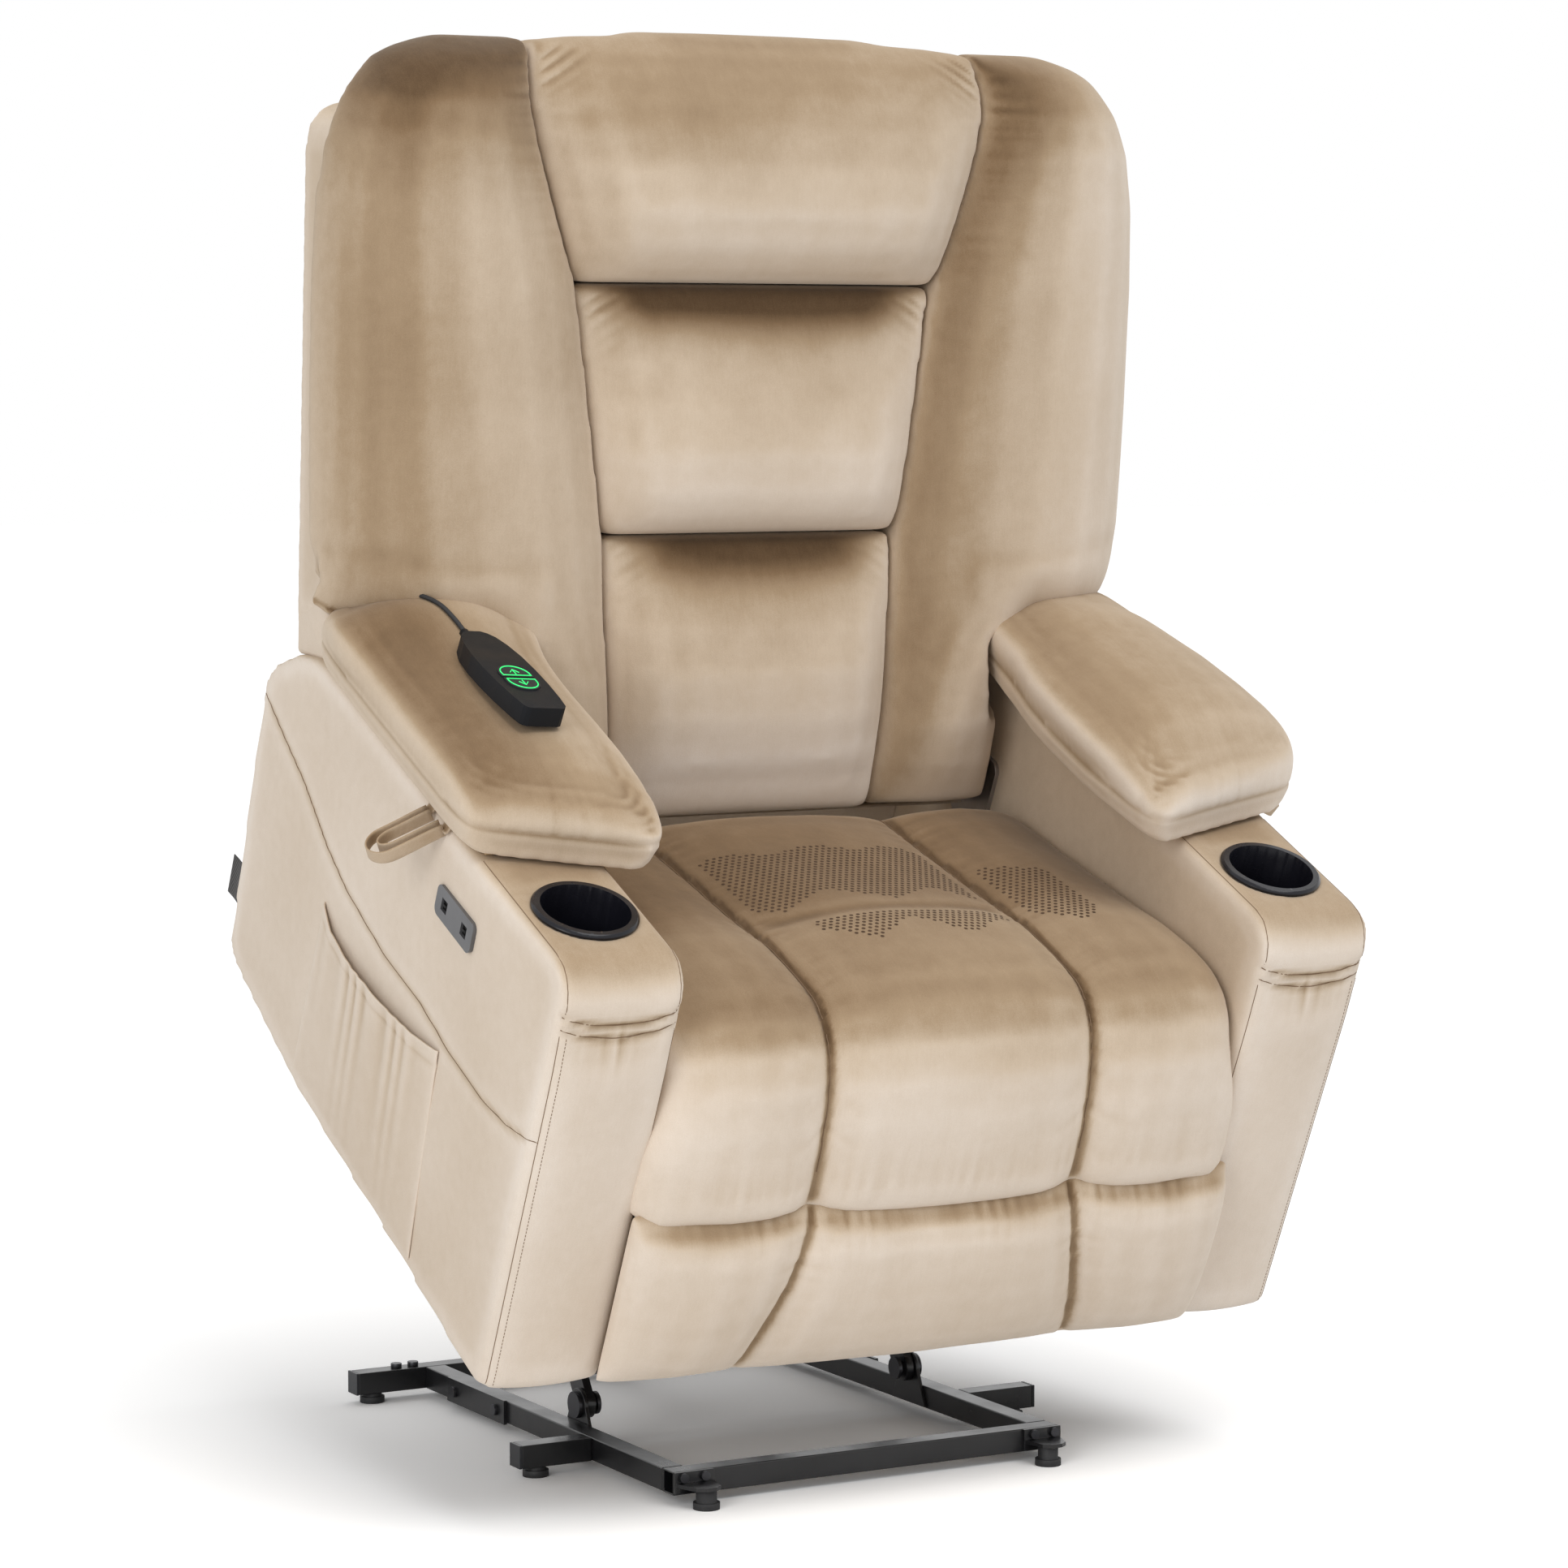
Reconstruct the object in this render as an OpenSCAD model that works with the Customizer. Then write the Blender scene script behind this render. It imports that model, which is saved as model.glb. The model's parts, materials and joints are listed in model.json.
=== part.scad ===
// Power lift recliner chair, shown raised and tilted forward, footrest folded, back upright.
// Millimetres, +Z up, -Y towards the sitter's feet, +X to the sitter's left.
// The chair body is drawn in its own seated frame and then set on the raised lift.

/* [Overall] */
// width of each arm box
arm_wide = 132; // [122:1:150]
// clear width between the arm boxes
seat_gap = 650; // [540:1:700]
// height of the arm deck above the arm's lower front edge
arm_high = 469; // [420:1:520]

/* [Lift] */
// forward tilt of the raised body, degrees
lift_tilt = 24.75; // [0:0.25:30]
// height of the body frame above the floor datum before the tilt
lift_height = 149.7; // [100:0.1:220]
// how far the lowered body sits behind the front bar
low_back = 70; // [0:1:110]
// ground clearance of the arms when lowered
low_clear = 66; // [50:1:90]
// height of the lift arm's fixed pivot
pivot_high = 52; // [45:1:80]
// body pivot of the lift arm, distance behind the arm fronts' datum
body_pivot_y = 640; // [560:1:680]
// body pivot of the lift arm, height in the body frame
body_pivot_z = 30; // [20:1:60]

/* [Base] */
// half length of the front bar
base_half = 226; // [200:1:260]
// side of the square base tube
tube = 24; // [20:1:30]
// wall of the base tube
tube_wall = 2; // [1.5:0.5:3]
// height of the tube's underside
tube_low = 11; // [8:1:20]
// depth of the base, front face to rear face
base_deep = 610; // [540:1:660]
// half width over the outriggers
outrigger_half = 306; // [280:1:340]
// distance from the front face to the middle outriggers
outrigger_y = 179; // [140:1:220]
// foot diameter
foot_d = 27; // [20:1:36]
// distance from the front face to the part's origin
origin_back = 195.5; // [150:0.5:300]

/* [Back] */
// lean of the back in the seated frame, degrees
back_lean = 21.2; // [15:0.1:30]
// foot of the back's front plane, behind the datum
back_y = 513; // [480:1:560]
// foot of the back's front plane, height
back_z = 340; // [320:1:380]
// recline pivot, depth behind the front plane
recline_d = 60; // [40:1:90]
// recline pivot, height along the back
recline_h = 20; // [0:1:60]
// depth of the cushions' rear plane
pad_deep = 80; // [60:1:100]
// half width of the rear shell
shell_half = 450; // [420:1:470]
// height of the rear shell along the back
shell_high = 732; // [680:1:760]
// depth of the rear shell's outer face
shell_deep = 158; // [130:1:180]

/* [Footrest] */
// half width of the footrest cushion
rest_half = 336; // [300:1:345]
// crank pivot, distance and height
crank_at = [75, 120];
// crank length
crank_len = 105; // [90:1:120]
// board pivot when folded
board_at = [48, 110];

/* [Arms] */
// outer radius of the cup holder rim
cup_rim = 52.5; // [45:0.5:58]
// inner radius of the cup holder
cup_bore = 44; // [36:0.5:48]
// depth of the cup holder
cup_deep = 84; // [60:1:100]
// centre of the cup holder behind the datum
cup_y = 134; // [110:1:160]
// top of the arm pad's boxing seam
pad_seam = 501; // [490:1:515]
// crown of the arm pad above its seam
pad_crown = 58; // [40:1:70]

/* [Hidden] */
$fn = 48;
arm_in = seat_gap / 2;
arm_out = arm_in + arm_wide;
arm_mid = (arm_out + arm_in) / 2;
// inner face of the lift arms, and their thickness
lift_in = base_half - 38;
lift_t = 9;
// inner face of the footrest linkage's plates
mech_x = arm_in - 63;
// half width of the storage tray, and its two ends
tray_half = arm_wide / 2 - 25;
tray_y = [250, 590];
tray_wall = 3;
lid_out = arm_out - 11;
hinge_x = arm_in + 6;
hinge_z = arm_high + 4.6;
cut_r = 203;
// half width of the back frame's foot, and where the wings are cut for its brackets
frame_foot = arm_in - 25;
wing_cut = frame_foot - 2;

function raise(q) = [q[0] * cos(lift_tilt) - (q[1] + lift_height) * sin(lift_tilt),
                     q[0] * sin(lift_tilt) + (q[1] + lift_height) * cos(lift_tilt)];
q_low = [body_pivot_y + low_back, body_pivot_z + low_clear];
q_high = raise([body_pivot_y, body_pivot_z]);
q_mid = (q_low + q_high) / 2;
q_run = q_high - q_low;
pivot_y = q_mid[0] - (pivot_high - q_mid[1]) * q_run[1] / q_run[0];
arm_vec = q_high - [pivot_y, pivot_high];
lift_len = norm(arm_vec);
lift_angle = atan2(arm_vec[1], arm_vec[0]);
lever_r = 120;
lever_angle = 75;
lever_tip = [pivot_y + lever_r * cos(lift_angle + lever_angle), pivot_high + lever_r * sin(lift_angle + lever_angle)];
motor_at = [base_deep - tube / 2, 62];
motor_vec = lever_tip - motor_at;
motor_len = norm(motor_vec);
motor_angle = atan2(motor_vec[1], motor_vec[0]);
crank_end = [crank_at[0] + crank_len * cos(-3), crank_at[1] + crank_len * sin(-3)];
link_vec = board_at - crank_end;
link_len = norm(link_vec);
link_angle = atan2(link_vec[1], link_vec[0]);
back_hinge = [back_y + recline_d * cos(back_lean) + recline_h * sin(back_lean),
              back_z - recline_d * sin(back_lean) + recline_h * cos(back_lean)];

module base_frame() translate([0, -origin_back, 0]) children();
module lifted() base_frame() rotate([lift_tilt, 0, 0]) translate([0, 0, lift_height]) children();
module at_back() lifted() translate([0, back_y, back_z]) rotate([-back_lean, 0, 0]) children();
module at_pivot() base_frame() translate([0, pivot_y, pivot_high]) rotate([lift_angle, 0, 0]) children();
module at_motor() base_frame() translate([0, motor_at[0], motor_at[1]]) rotate([motor_angle, 0, 0]) children();
module both() {
  children();
  mirror([1, 0, 0]) children();
}
// box from two corners
module box(a, b) translate(a) cube(b - a);
// rod along X between two x positions
module rod_x(x0, x1, y, z, r) translate([x0, y, z]) rotate([0, 90, 0]) cylinder(r = r, h = x1 - x0);
// rod along Y
module rod_y(x, y0, y1, z, r) translate([x, y0, z]) rotate([-90, 0, 0]) cylinder(r = r, h = y1 - y0);
// plate in the Y-Z plane, from x0 to x1
module plate_x(x0, x1) translate([x0, 0, 0]) rotate([90, 0, 90]) linear_extrude(x1 - x0) children();
// plate in the X-Z plane, from y0 to y1
module plate_y(y0, y1) translate([0, y1, 0]) rotate([90, 0, 0]) linear_extrude(y1 - y0) children();
// flat bar in the Y-Z plane between two points, with an eye a little wider than the bar at each end
module bar2(p, q, w, waist = 0.92) {
  translate(p) circle(d = w);
  translate(q) circle(d = w);
  translate(p) rotate(atan2(q[1] - p[1], q[0] - p[0])) translate([0, -w * waist / 2]) square([norm(q - p), w * waist]);
}
module round_square(a, b, r) {
  translate([a[0] + r, a[1]]) square([b[0] - a[0] - 2 * r, b[1] - a[1]]);
  translate([a[0], a[1] + r]) square([b[0] - a[0], b[1] - a[1] - 2 * r]);
  for (x = [a[0] + r, b[0] - r]) for (y = [a[1] + r, b[1] - r]) translate([x, y]) circle(r = r);
}
// skin through a list of rings, closed by a fan at each end
module loft(rings, turn = false) {
  n = len(rings[0]);
  m = len(rings);
  first = rings[0];
  last = rings[m - 1];
  c0 = [for (a = [0:2]) (min([for (p = first) p[a]]) + max([for (p = first) p[a]])) / 2];
  c1 = [for (a = [0:2]) (min([for (p = last) p[a]]) + max([for (p = last) p[a]])) / 2];
  pts = concat([for (r = rings) for (p = r) p], [c0, c1]);
  skin = [for (i = [0:m - 2]) for (k = [0:n - 1]) let (j = (k + 1) % n) each
    [[i * n + k, (i + 1) * n + j, i * n + j], [i * n + k, (i + 1) * n + k, (i + 1) * n + j]]];
  ends = [for (k = [0:n - 1]) let (j = (k + 1) % n) each
    [[n * m, k, j], [n * m + 1, (m - 1) * n + j, (m - 1) * n + k]]];
  faces = concat(skin, ends);
  polyhedron(pts, turn ? [for (f = faces) [f[2], f[1], f[0]]] : faces);
}

// ---- base ----
module square_tube(len) {
  difference() {
    cube([tube, len, tube]);
    translate([tube_wall, -1, tube_wall]) cube([tube - 2 * tube_wall, len + 2, tube - 2 * tube_wall]);
  }
}
module rail() translate([base_half - tube, tube, tube_low]) square_tube(base_deep - 2 * tube);
module rail_left() color("black") base_frame() mirror([1, 0, 0]) rail();
module rail_right() color("black") base_frame() rail();
module cross_tube(half, y) translate([-half, y + tube, tube_low]) rotate([0, 0, -90]) square_tube(2 * half);
module front_bar() color("black") base_frame() cross_tube(base_half, 0);
module rear_bar() color("black") base_frame() cross_tube(outrigger_half, base_deep - tube);
module mid_outriggers() color("black") base_frame() both()
  translate([base_half, outrigger_y + tube, tube_low]) rotate([0, 0, -90]) square_tube(outrigger_half - base_half);
module tube_caps() color("dimgray") base_frame() both() for (y = [outrigger_y, base_deep - tube])
  union() {
    box([outrigger_half, y, tube_low], [outrigger_half + 2.5, y + tube, tube_low + tube]);
    box([outrigger_half - 10, y + tube_wall, tube_low + tube_wall],
        [outrigger_half, y + tube - tube_wall, tube_low + tube - tube_wall]);
  }
module foot(x, y, top) translate([x, y, 0]) {
  cylinder(d = foot_d, h = 7);
  translate([0, 0, 7]) cylinder(d = foot_d - 6, h = top - 7);
}
module foot_brackets() color("black") base_frame() both() {
  translate([0, 0, tube_low + 9]) linear_extrude(4)
    polygon([[base_half - 44, 0], [base_half - 38, -30], [base_half - 30, -36], [base_half - 18, -36],
             [base_half - 10, -30], [base_half, 0]]);
  box([base_half - 44, -4, tube_low + 2], [base_half, 0, tube_low + tube]);
}
module glide_feet() color("dimgray") base_frame() both() {
  foot(base_half - 26, -21, tube_low + 9);
  foot(outrigger_half - 21, outrigger_y + tube / 2, tube_low);
  foot(outrigger_half - 21, base_deep - tube / 2, tube_low);
}
module pivot_brackets() color("black") base_frame() both() {
  difference() {
    plate_x(base_half - tube - 4, base_half - tube) union() {
      bar2([pivot_y, pivot_high], [pivot_y, 30], 34);
      polygon([[pivot_y - 34, tube_low + 2], [pivot_y + 34, tube_low + 2], [pivot_y + 17, pivot_high],
               [pivot_y - 17, pivot_high]]);
    }
    rod_x(base_half - tube - 9, base_half - tube + 5, pivot_y, pivot_high, 8.05);
  }
  box([base_half, 380, tube_low - 1], [base_half + 4, 522, tube_low + tube + 1]);
}
module base_fasteners() color("silver") base_frame() both() {
  union() {
    rod_x(lift_in - 5, base_half - tube, pivot_y, pivot_high, 8);
    rod_x(base_half - tube, base_half - tube + 5, pivot_y, pivot_high, 14);
    rod_x(lift_in - 8, lift_in - 4, pivot_y, pivot_high, 12);
  }
  for (x = [base_half - 33, base_half - 9]) rod_y(x, -8, -4, tube_low + 18.4, 4.8);
  for (x = [outrigger_half - 50, base_half + 10]) translate([x, base_deep - tube / 2, tube_low + tube])
    cylinder(r = 6, h = 5);
  for (y = [400, 502]) rod_x(base_half + 4, base_half + 8, y, tube_low + tube / 2, 6);
}
module motor_clevis() color("black") base_frame() {
  both() difference() {
    plate_x(20, 25) union() {
      bar2(motor_at, [motor_at[0], tube_low + tube + 11], 22);
      translate([motor_at[0] - 12, tube_low + tube]) square([24, 12]);
    }
    rod_x(19, 26, motor_at[0], motor_at[1], 6.05);
  }
  rod_x(-28, 28, motor_at[0], motor_at[1], 6);
}

// ---- lift arms and actuator ----
// torsion tube of the lift arms, in their own frame: along the arm and square to it
torsion_at = [54, -27];
lever_tip_at = [lever_r * cos(lever_angle), lever_r * sin(lever_angle)];
module lift_arms() color("black") at_pivot() {
  both() difference() {
    union() {
      plate_x(lift_in, lift_in + lift_t) {
        bar2([0, 0], [lift_len, 0], 30);
        bar2(torsion_at, [44, 0], 34);
        bar2(torsion_at, [68, 0], 34);
      }
      rod_x(lift_in, lift_in + 17.5, lift_len, 0, 8);
      plate_x(22, 27) bar2(torsion_at, lever_tip_at, 30);
    }
    rod_x(lift_in - 5, lift_in + 12, 0, 0, 8.05);
  }
  rod_x(-lift_in - 1, lift_in + 1, torsion_at[0], torsion_at[1], 13);
  rod_x(-27, 27, lever_tip_at[0], lever_tip_at[1], 5);
}
// local +Y runs from the rear clevis to the rod end
module actuator_tube() color("dimgray") at_motor() difference() {
  union() {
    rod_y(0, 46, 262, 0, 17);
    box([-19, -12, -13], [19, 46, 13]);
    rod_x(-19, 19, 0, 0, 13);
  }
  rod_x(-20, 20, 0, 0, 6.05);
  rod_y(0, 60, 263, 0, 10.06);
  box([-30, -30, -30], [30, -13, 30]);
}
module motor_housing() color("dimgray") at_motor() {
  box([-19, 12, -61], [19, 46, -13]);
  rod_y(0, 46, 150, -38, 20);
}
module actuator_rod() color("silver") at_motor() difference() {
  union() {
    rod_y(0, 152, motor_len - 8, 0, 10);
    rod_x(-12, 12, motor_len + 2.6, -3.5, 19);
  }
  plate_x(-13, 13) bar2([motor_len, 0], [motor_len + 5.3, -7.1], 13);
}

// ---- seat body ----
module seat_frame() color("burlywood") lifted() difference() {
  box([-arm_in, 45, 195], [arm_in, 600, 225]);
  box([-arm_in + 28, 70, 190], [arm_in - 28, 575, 230]);
}
module seat_webbing() color("saddlebrown") lifted() {
  for (x = [-240:120:240]) box([x - 30, 45, 225], [x + 30, 600, 227]);
  for (y = [150:110:480]) box([-arm_in + 8, y - 28, 227], [arm_in - 8, y + 28, 229]);
}
module lift_frame() color("black") lifted() {
  for (y = [57, 300, 560]) box([-arm_in + 3, y, 170], [arm_in - 3, y + 25, 195]);
  both() {
    box([lift_in + 12, 82, 170], [lift_in + 18, 560, 195]);
    difference() {
      plate_x(lift_in + 12, lift_in + 18) polygon([[560, 170], [body_pivot_y - 26, 150], [body_pivot_y - 18, body_pivot_z + 8],
        [body_pivot_y - 9, body_pivot_z - 15], [body_pivot_y + 9, body_pivot_z - 15],
        [body_pivot_y + 18, body_pivot_z + 8], [body_pivot_y + 14, 195], [585, 195], [560, 195]]);
      rod_x(lift_in + 11, lift_in + 19, body_pivot_y, body_pivot_z, 8.05);
    }
    difference() {
      plate_x(mech_x, mech_x + 5) union() {
        bar2(crank_at, [crank_at[0], 150], 26);
        translate([crank_at[0] - 18, 140]) square([25, 30]);
      }
      rod_x(mech_x - 1, mech_x + 6, crank_at[0], crank_at[1], 5.05);
    }
  }
}
// seat cross-section at a seam: distance, height, outward direction
seat_line = [[30, 230, 0, -0.1], [22, 212, -0.3, -0.3], [12, 205, -0.8, -0.3], [6, 215, -1, 0], [7, 250, -1, 0],
  [11, 290, -1, 0.1], [19, 325, -1, 0.3], [34, 358, -0.8, 0.6], [56, 379, -0.5, 0.9], [85, 389, -0.2, 1],
  [125, 391, 0, 1], [180, 388, 0, 1], [240, 377, 0, 1], [310, 366, 0, 1], [380, 356, 0, 1], [440, 349, 0, 1],
  [480, 344, 0, 0.8], [498, 334, 0.1, 0.3], [503, 310, 0, 0], [503, 262, 0, 0], [498, 231, 0, 0],
  [400, 229.2, 0, 0], [250, 229.2, 0, 0], [120, 229.2, 0, 0]];
seat_seam = 150;
seat_edge = arm_in - 3;
// rise of the panels between the seams, by x
function seat_rise(x) = lookup(abs(x), [[0, 22], [60, 21], [seat_seam - 40, 17], [seat_seam - 16, 10], [seat_seam - 6, 3],
  [seat_seam, -3], [seat_seam + 6, 3], [seat_seam + 18, 11], [200, 18], [240, 20], [seat_edge - 47, 16], [seat_edge - 22, 8],
  [seat_edge - 9, -2], [seat_edge, -14]]);
seat_half = [60, seat_seam - 40, seat_seam - 16, seat_seam - 6, seat_seam, seat_seam + 6, seat_seam + 18, 200, 240,
  seat_edge - 47, seat_edge - 22, seat_edge - 9, seat_edge];
seat_steps = concat([for (k = [len(seat_half) - 1:-1:0]) -seat_half[k]], [0], seat_half);
// cross seam between the two perforated patches of the centre panel
function seat_dip(x, y) = let (w = lookup(abs(x), [[0, 7], [120, 6], [150, 0]])) w * exp(-pow((y - 222) / 15, 2));
module seat_cushion() color("tan") lifted() loft([for (x = seat_steps)
  [for (k = [len(seat_line) - 1:-1:0]) let (p = seat_line[k], r = seat_rise(x) - seat_dip(x, p[0]))
    [x, p[0] + p[2] * r, p[1] + p[3] * r]]]);

// arm box: side outline, front outline and plan outline meet
arm_side = concat([[25, 6], [31, 0], [526, 32], [698, 60], [734, 69], [745, 80], [752, 195], [761, 315], [766, 378],
  [764, 392], [750, 411], [705, 446], [660, 466], [640, arm_high]],
  [for (a = [90:15:180]) [67 + 42 * cos(a), arm_high - 48 + 48 * sin(a)]]);
arm_core = [[43, -20], [43, 455], [636, 455], [656, 452], [698, 433], [739, 401], [751, 385], [747, 316],
  [738, 196], [731, 82], [731, -20]];
module arm_block() intersection() {
  plate_x(arm_in, arm_out) polygon(arm_side);
  plate_y(0, 800) round_square([arm_in, -40], [arm_out, arm_high], 13);
  linear_extrude(arm_high + 5) round_square([arm_in, 25], [arm_out, 790], 13);
}
module arm_side_panel() color("tan") intersection() {
  arm_block();
  plate_x(arm_out - 15, arm_out) polygon(arm_core);
}
module arm_inner_panel() color("tan") intersection() {
  arm_block();
  plate_x(arm_in, arm_in + 14) polygon(arm_core);
}
module arm_front_panel() color("tan") intersection() {
  arm_block();
  box([arm_in, 20, -1], [arm_out, 43, 420]);
}
module arm_deck() color("tan") difference() {
  union() {
    intersection() {
      arm_block();
      union() {
        box([arm_in, 20, 420], [arm_out, 43, 475]);
        box([arm_in, 43, 60], [arm_out, 800, 475]);
      }
    }
    for (y = [238, 598]) box([arm_in + 2, y, arm_high - 2], [arm_in + 10, y + 8, arm_high + 9]);
  }
  plate_x(arm_in - 1, arm_out + 1) polygon(arm_core);
  translate([arm_mid, cup_y, 400]) cylinder(r = cup_bore + 2.5, h = 100);
  box([arm_mid - tray_half, tray_y[0], 400], [arm_mid + tray_half, tray_y[1], 500]);
  rod_y(hinge_x, 230, 615, hinge_z, 2.05);
}
module arm_side_left() lifted() mirror([1, 0, 0]) arm_side_panel();
module arm_side_right() lifted() arm_side_panel();
module arm_inner_left() lifted() mirror([1, 0, 0]) arm_inner_panel();
module arm_inner_right() lifted() arm_inner_panel();
module arm_front_left() lifted() mirror([1, 0, 0]) arm_front_panel();
module arm_front_right() lifted() arm_front_panel();
module arm_deck_left() color("tan") lifted() difference() {
  mirror([1, 0, 0]) arm_deck();
  at_grommet() translate([0, 0, -30]) cylinder(r = 5, h = 60);
}
module arm_deck_right() lifted() arm_deck();
module cup() color("black") translate([arm_mid, cup_y, arm_high]) rotate_extrude() difference() {
  union() {
    translate([0, -cup_deep]) square([cup_bore + 2.5, cup_deep]);
    polygon([[0, 0], [cup_rim, 0], [cup_rim, 2], [cup_rim - 2.5, 4.5], [0, 4.5]]);
  }
  translate([-1, -cup_deep + 2.5]) square([cup_bore + 1, cup_deep + 5]);
}
module cup_holder_left() lifted() mirror([1, 0, 0]) cup();
module cup_holder_right() lifted() cup();
module tray() color("dimgray") difference() {
  box([arm_mid - tray_half, tray_y[0], arm_high - 82], [arm_mid + tray_half, tray_y[1], arm_high]);
  box([arm_mid - tray_half + tray_wall, tray_y[0] + tray_wall, arm_high - 82 + tray_wall],
      [arm_mid + tray_half - tray_wall, tray_y[1] - tray_wall, arm_high + 1]);
}
module storage_tray_left() lifted() mirror([1, 0, 0]) tray();
module storage_tray_right() lifted() tray();
module usb_plate() color("dimgray") lifted() difference() {
  plate_x(-arm_out - 4, -arm_out) round_square([213, 378], [299, 411], 8);
  for (y = [226, 273]) box([-arm_out - 5, y, 388], [-arm_out - 1.2, y + 13, 401]);
}
pocket_line = [[217, 26], [540, 50], [536, 250], [500, 236], [440, 232], [360, 236], [290, 244], [240, 254]];
pocket_core = [[225, 34], [534, 57], [530, 262], [240, 262]];
module side_pocket() color("tan") lifted() difference() {
  plate_x(-arm_out - 7.5, -arm_out) polygon(pocket_line);
  plate_x(-arm_out - 5.5, -arm_out + 1) polygon(pocket_core);
}
module control_box() color("dimgray") lifted() difference() {
  union() {
    box([-75, 470, 150], [75, 560, 192]);
    rod_y(-45, 462, 470, 171, 9);
  }
  rod_y(-45, 461, 468, 171, 5);
}
module hinge_plates() color("dimgray") lifted() both() {
  plate_x(arm_in - 5, arm_in) translate([back_hinge[0], back_hinge[1]]) round_square([-30, -60], [40, 30], 12);
  rod_x(frame_foot, arm_in - 5, back_hinge[0], back_hinge[1], 7);
}
module rear_apron() color("tan") lifted() box([-arm_in, 724, 70], [arm_in, 731, 290]);
module side_tag() color("black") lifted() plate_x(-arm_out + 9, -arm_out + 10.2)
  polygon([[747.4, 118], [784, 118], [784, 164], [750.2, 164]]);
// hole for the handset cord, square to the sloping rear part of the deck
module at_grommet() translate([-arm_out + 39, 676, 458.9]) rotate([-23.96, 0, 0]) children();
module cord_grommet() color("black") lifted() at_grommet() difference() {
  union() {
    translate([0, 0, -12]) cylinder(r = 4.9, h = 12.1);
    translate([0, 0, 0.1]) cylinder(r = 8, h = 2.4);
  }
  translate([0, 0, -13]) cylinder(r = 3.4, h = 17);
}

// ---- back ----
function wing_in(h) = lookup(h, [[14, 157], [297, 174], [556, 212], [640, 240], [700, 259], [740, 267], [780, 263],
  [802, 258]]);
function wing_out(h) = lookup(h, [[14, arm_in - 11], [118, arm_in - 9], [150, arm_in + 5], [185, arm_in + 60],
  [215, shell_half - 20], [250, shell_half + 12], [300, shell_half + 26], [420, shell_half + 29], [560, shell_half + 29],
  [640, shell_half + 24], [700, shell_half + 13], [748, shell_half - 6], [781, shell_half - 35], [795, shell_half - 65],
  [802, shell_half - 100]]);
function wing_front(u) = lookup(u, [[0, 4], [0.06, -14], [0.15, -28], [0.3, -40], [0.5, -44], [0.7, -38], [0.84, -20],
  [0.93, 2], [0.98, 26], [1, 48]]);
function wing_swell(h) = lookup(h, [[14, 0.45], [40, 0.8], [90, 1], [700, 1], [740, 0.92], [770, 0.72], [790, 0.45],
  [799, 0.2], [802, 0.05]]);
wing_rows = [14, 40, 90, 118, 150, 185, 215, 250, 297, 360, 430, 500, 556, 600, 640, 670, 700, 740, 765, 780, 790, 799, 802];
wing_steps = [0, 0.06, 0.15, 0.3, 0.5, 0.7, 0.84, 0.93, 0.98, 1];
function wing_x(h, u) = wing_in(h) + 0.6 + u * (wing_out(h) - wing_in(h));
module wing() difference() {
  loft([for (h = wing_rows) concat(
    [for (u = wing_steps) [wing_x(h, u), 40 + (wing_front(u) - 40) * wing_swell(h) + (u > 0.98 ? 8 : 0), h]],
    [for (u = [1, 0.66, 0.33, 0]) [wing_x(h, u), pad_deep, h]])]);
  pad_room();
  box([wing_cut, 36, -10], [600, pad_deep + 1, 76]);
}
// room that the opening arm pad and the arm box need, in the back's frame
module pad_room() {
  rotate([back_lean, 0, 0]) translate([0, -back_y, -back_z]) box([256, 400, 438], [600, pad_rear + 15, 590]);
  rod_x(arm_in - 3, 600, recline_d, recline_h, cut_r);
}
module wing_left() color("tan") at_back() mirror([1, 0, 0]) wing();
module wing_right() color("tan") at_back() wing();
// cushion between the wings: rows of height and front depth
module back_pad(rows, fall) {
  low = rows[0][0];
  high = rows[len(rows) - 1][0];
  loft([for (r = rows) let (h = r[0], half = wing_in(h - fall * (h - low) / (high - low)) - 0.6) concat(
    [for (u = [-1, -0.97, -0.9, -0.75, -0.5, -0.25, 0, 0.25, 0.5, 0.75, 0.9, 0.97, 1])
      [u * half, 12 + (r[1] - 12) * (1 - 0.85 * pow(abs(u), 6)), h - fall * pow(abs(u), 4) * (h - low) / (high - low)]],
    [for (u = [1, 0.5, 0, -0.5, -1]) [u * half, pad_deep, h - fall * pow(abs(u), 4) * (h - low) / (high - low)]])]);
}
module head_pillow() color("tan") at_back() back_pad([[556.8, 18], [560, -6], [572, -30], [595, -48], [630, -56],
  [675, -52], [715, -40], [750, -24], [778, -6], [798, 14], [810, 40], [814, 60]], 14);
module mid_cushion() color("tan") at_back() back_pad([[297.8, 18], [301, -8], [314, -27], [340, -37], [380, -38],
  [430, -29], [480, -16], [525, -4], [548, 6], [555.6, 20]], 0);
module lumbar_cushion() color("tan") at_back() back_pad([[14, 30], [17, 4], [30, -18], [60, -34], [105, -45],
  [155, -46], [205, -35], [250, -18], [282, -4], [293, 6], [296.6, 20]], 0);
module shell_outline(g) {
  round_square([-shell_half + g, 150], [shell_half - g, shell_high - g], 42 - g);
  translate([-arm_in + 10 + g, -12 + g]) square([2 * arm_in - 20 - 2 * g, 300]);
}
module back_shell() color("tan") at_back() difference() {
  plate_y(pad_deep, shell_deep) shell_outline(0);
  plate_y(pad_deep - 1, shell_deep - 6) shell_outline(6);
  both() rod_x(arm_in - 3, 600, recline_d, recline_h, cut_r);
}
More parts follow.
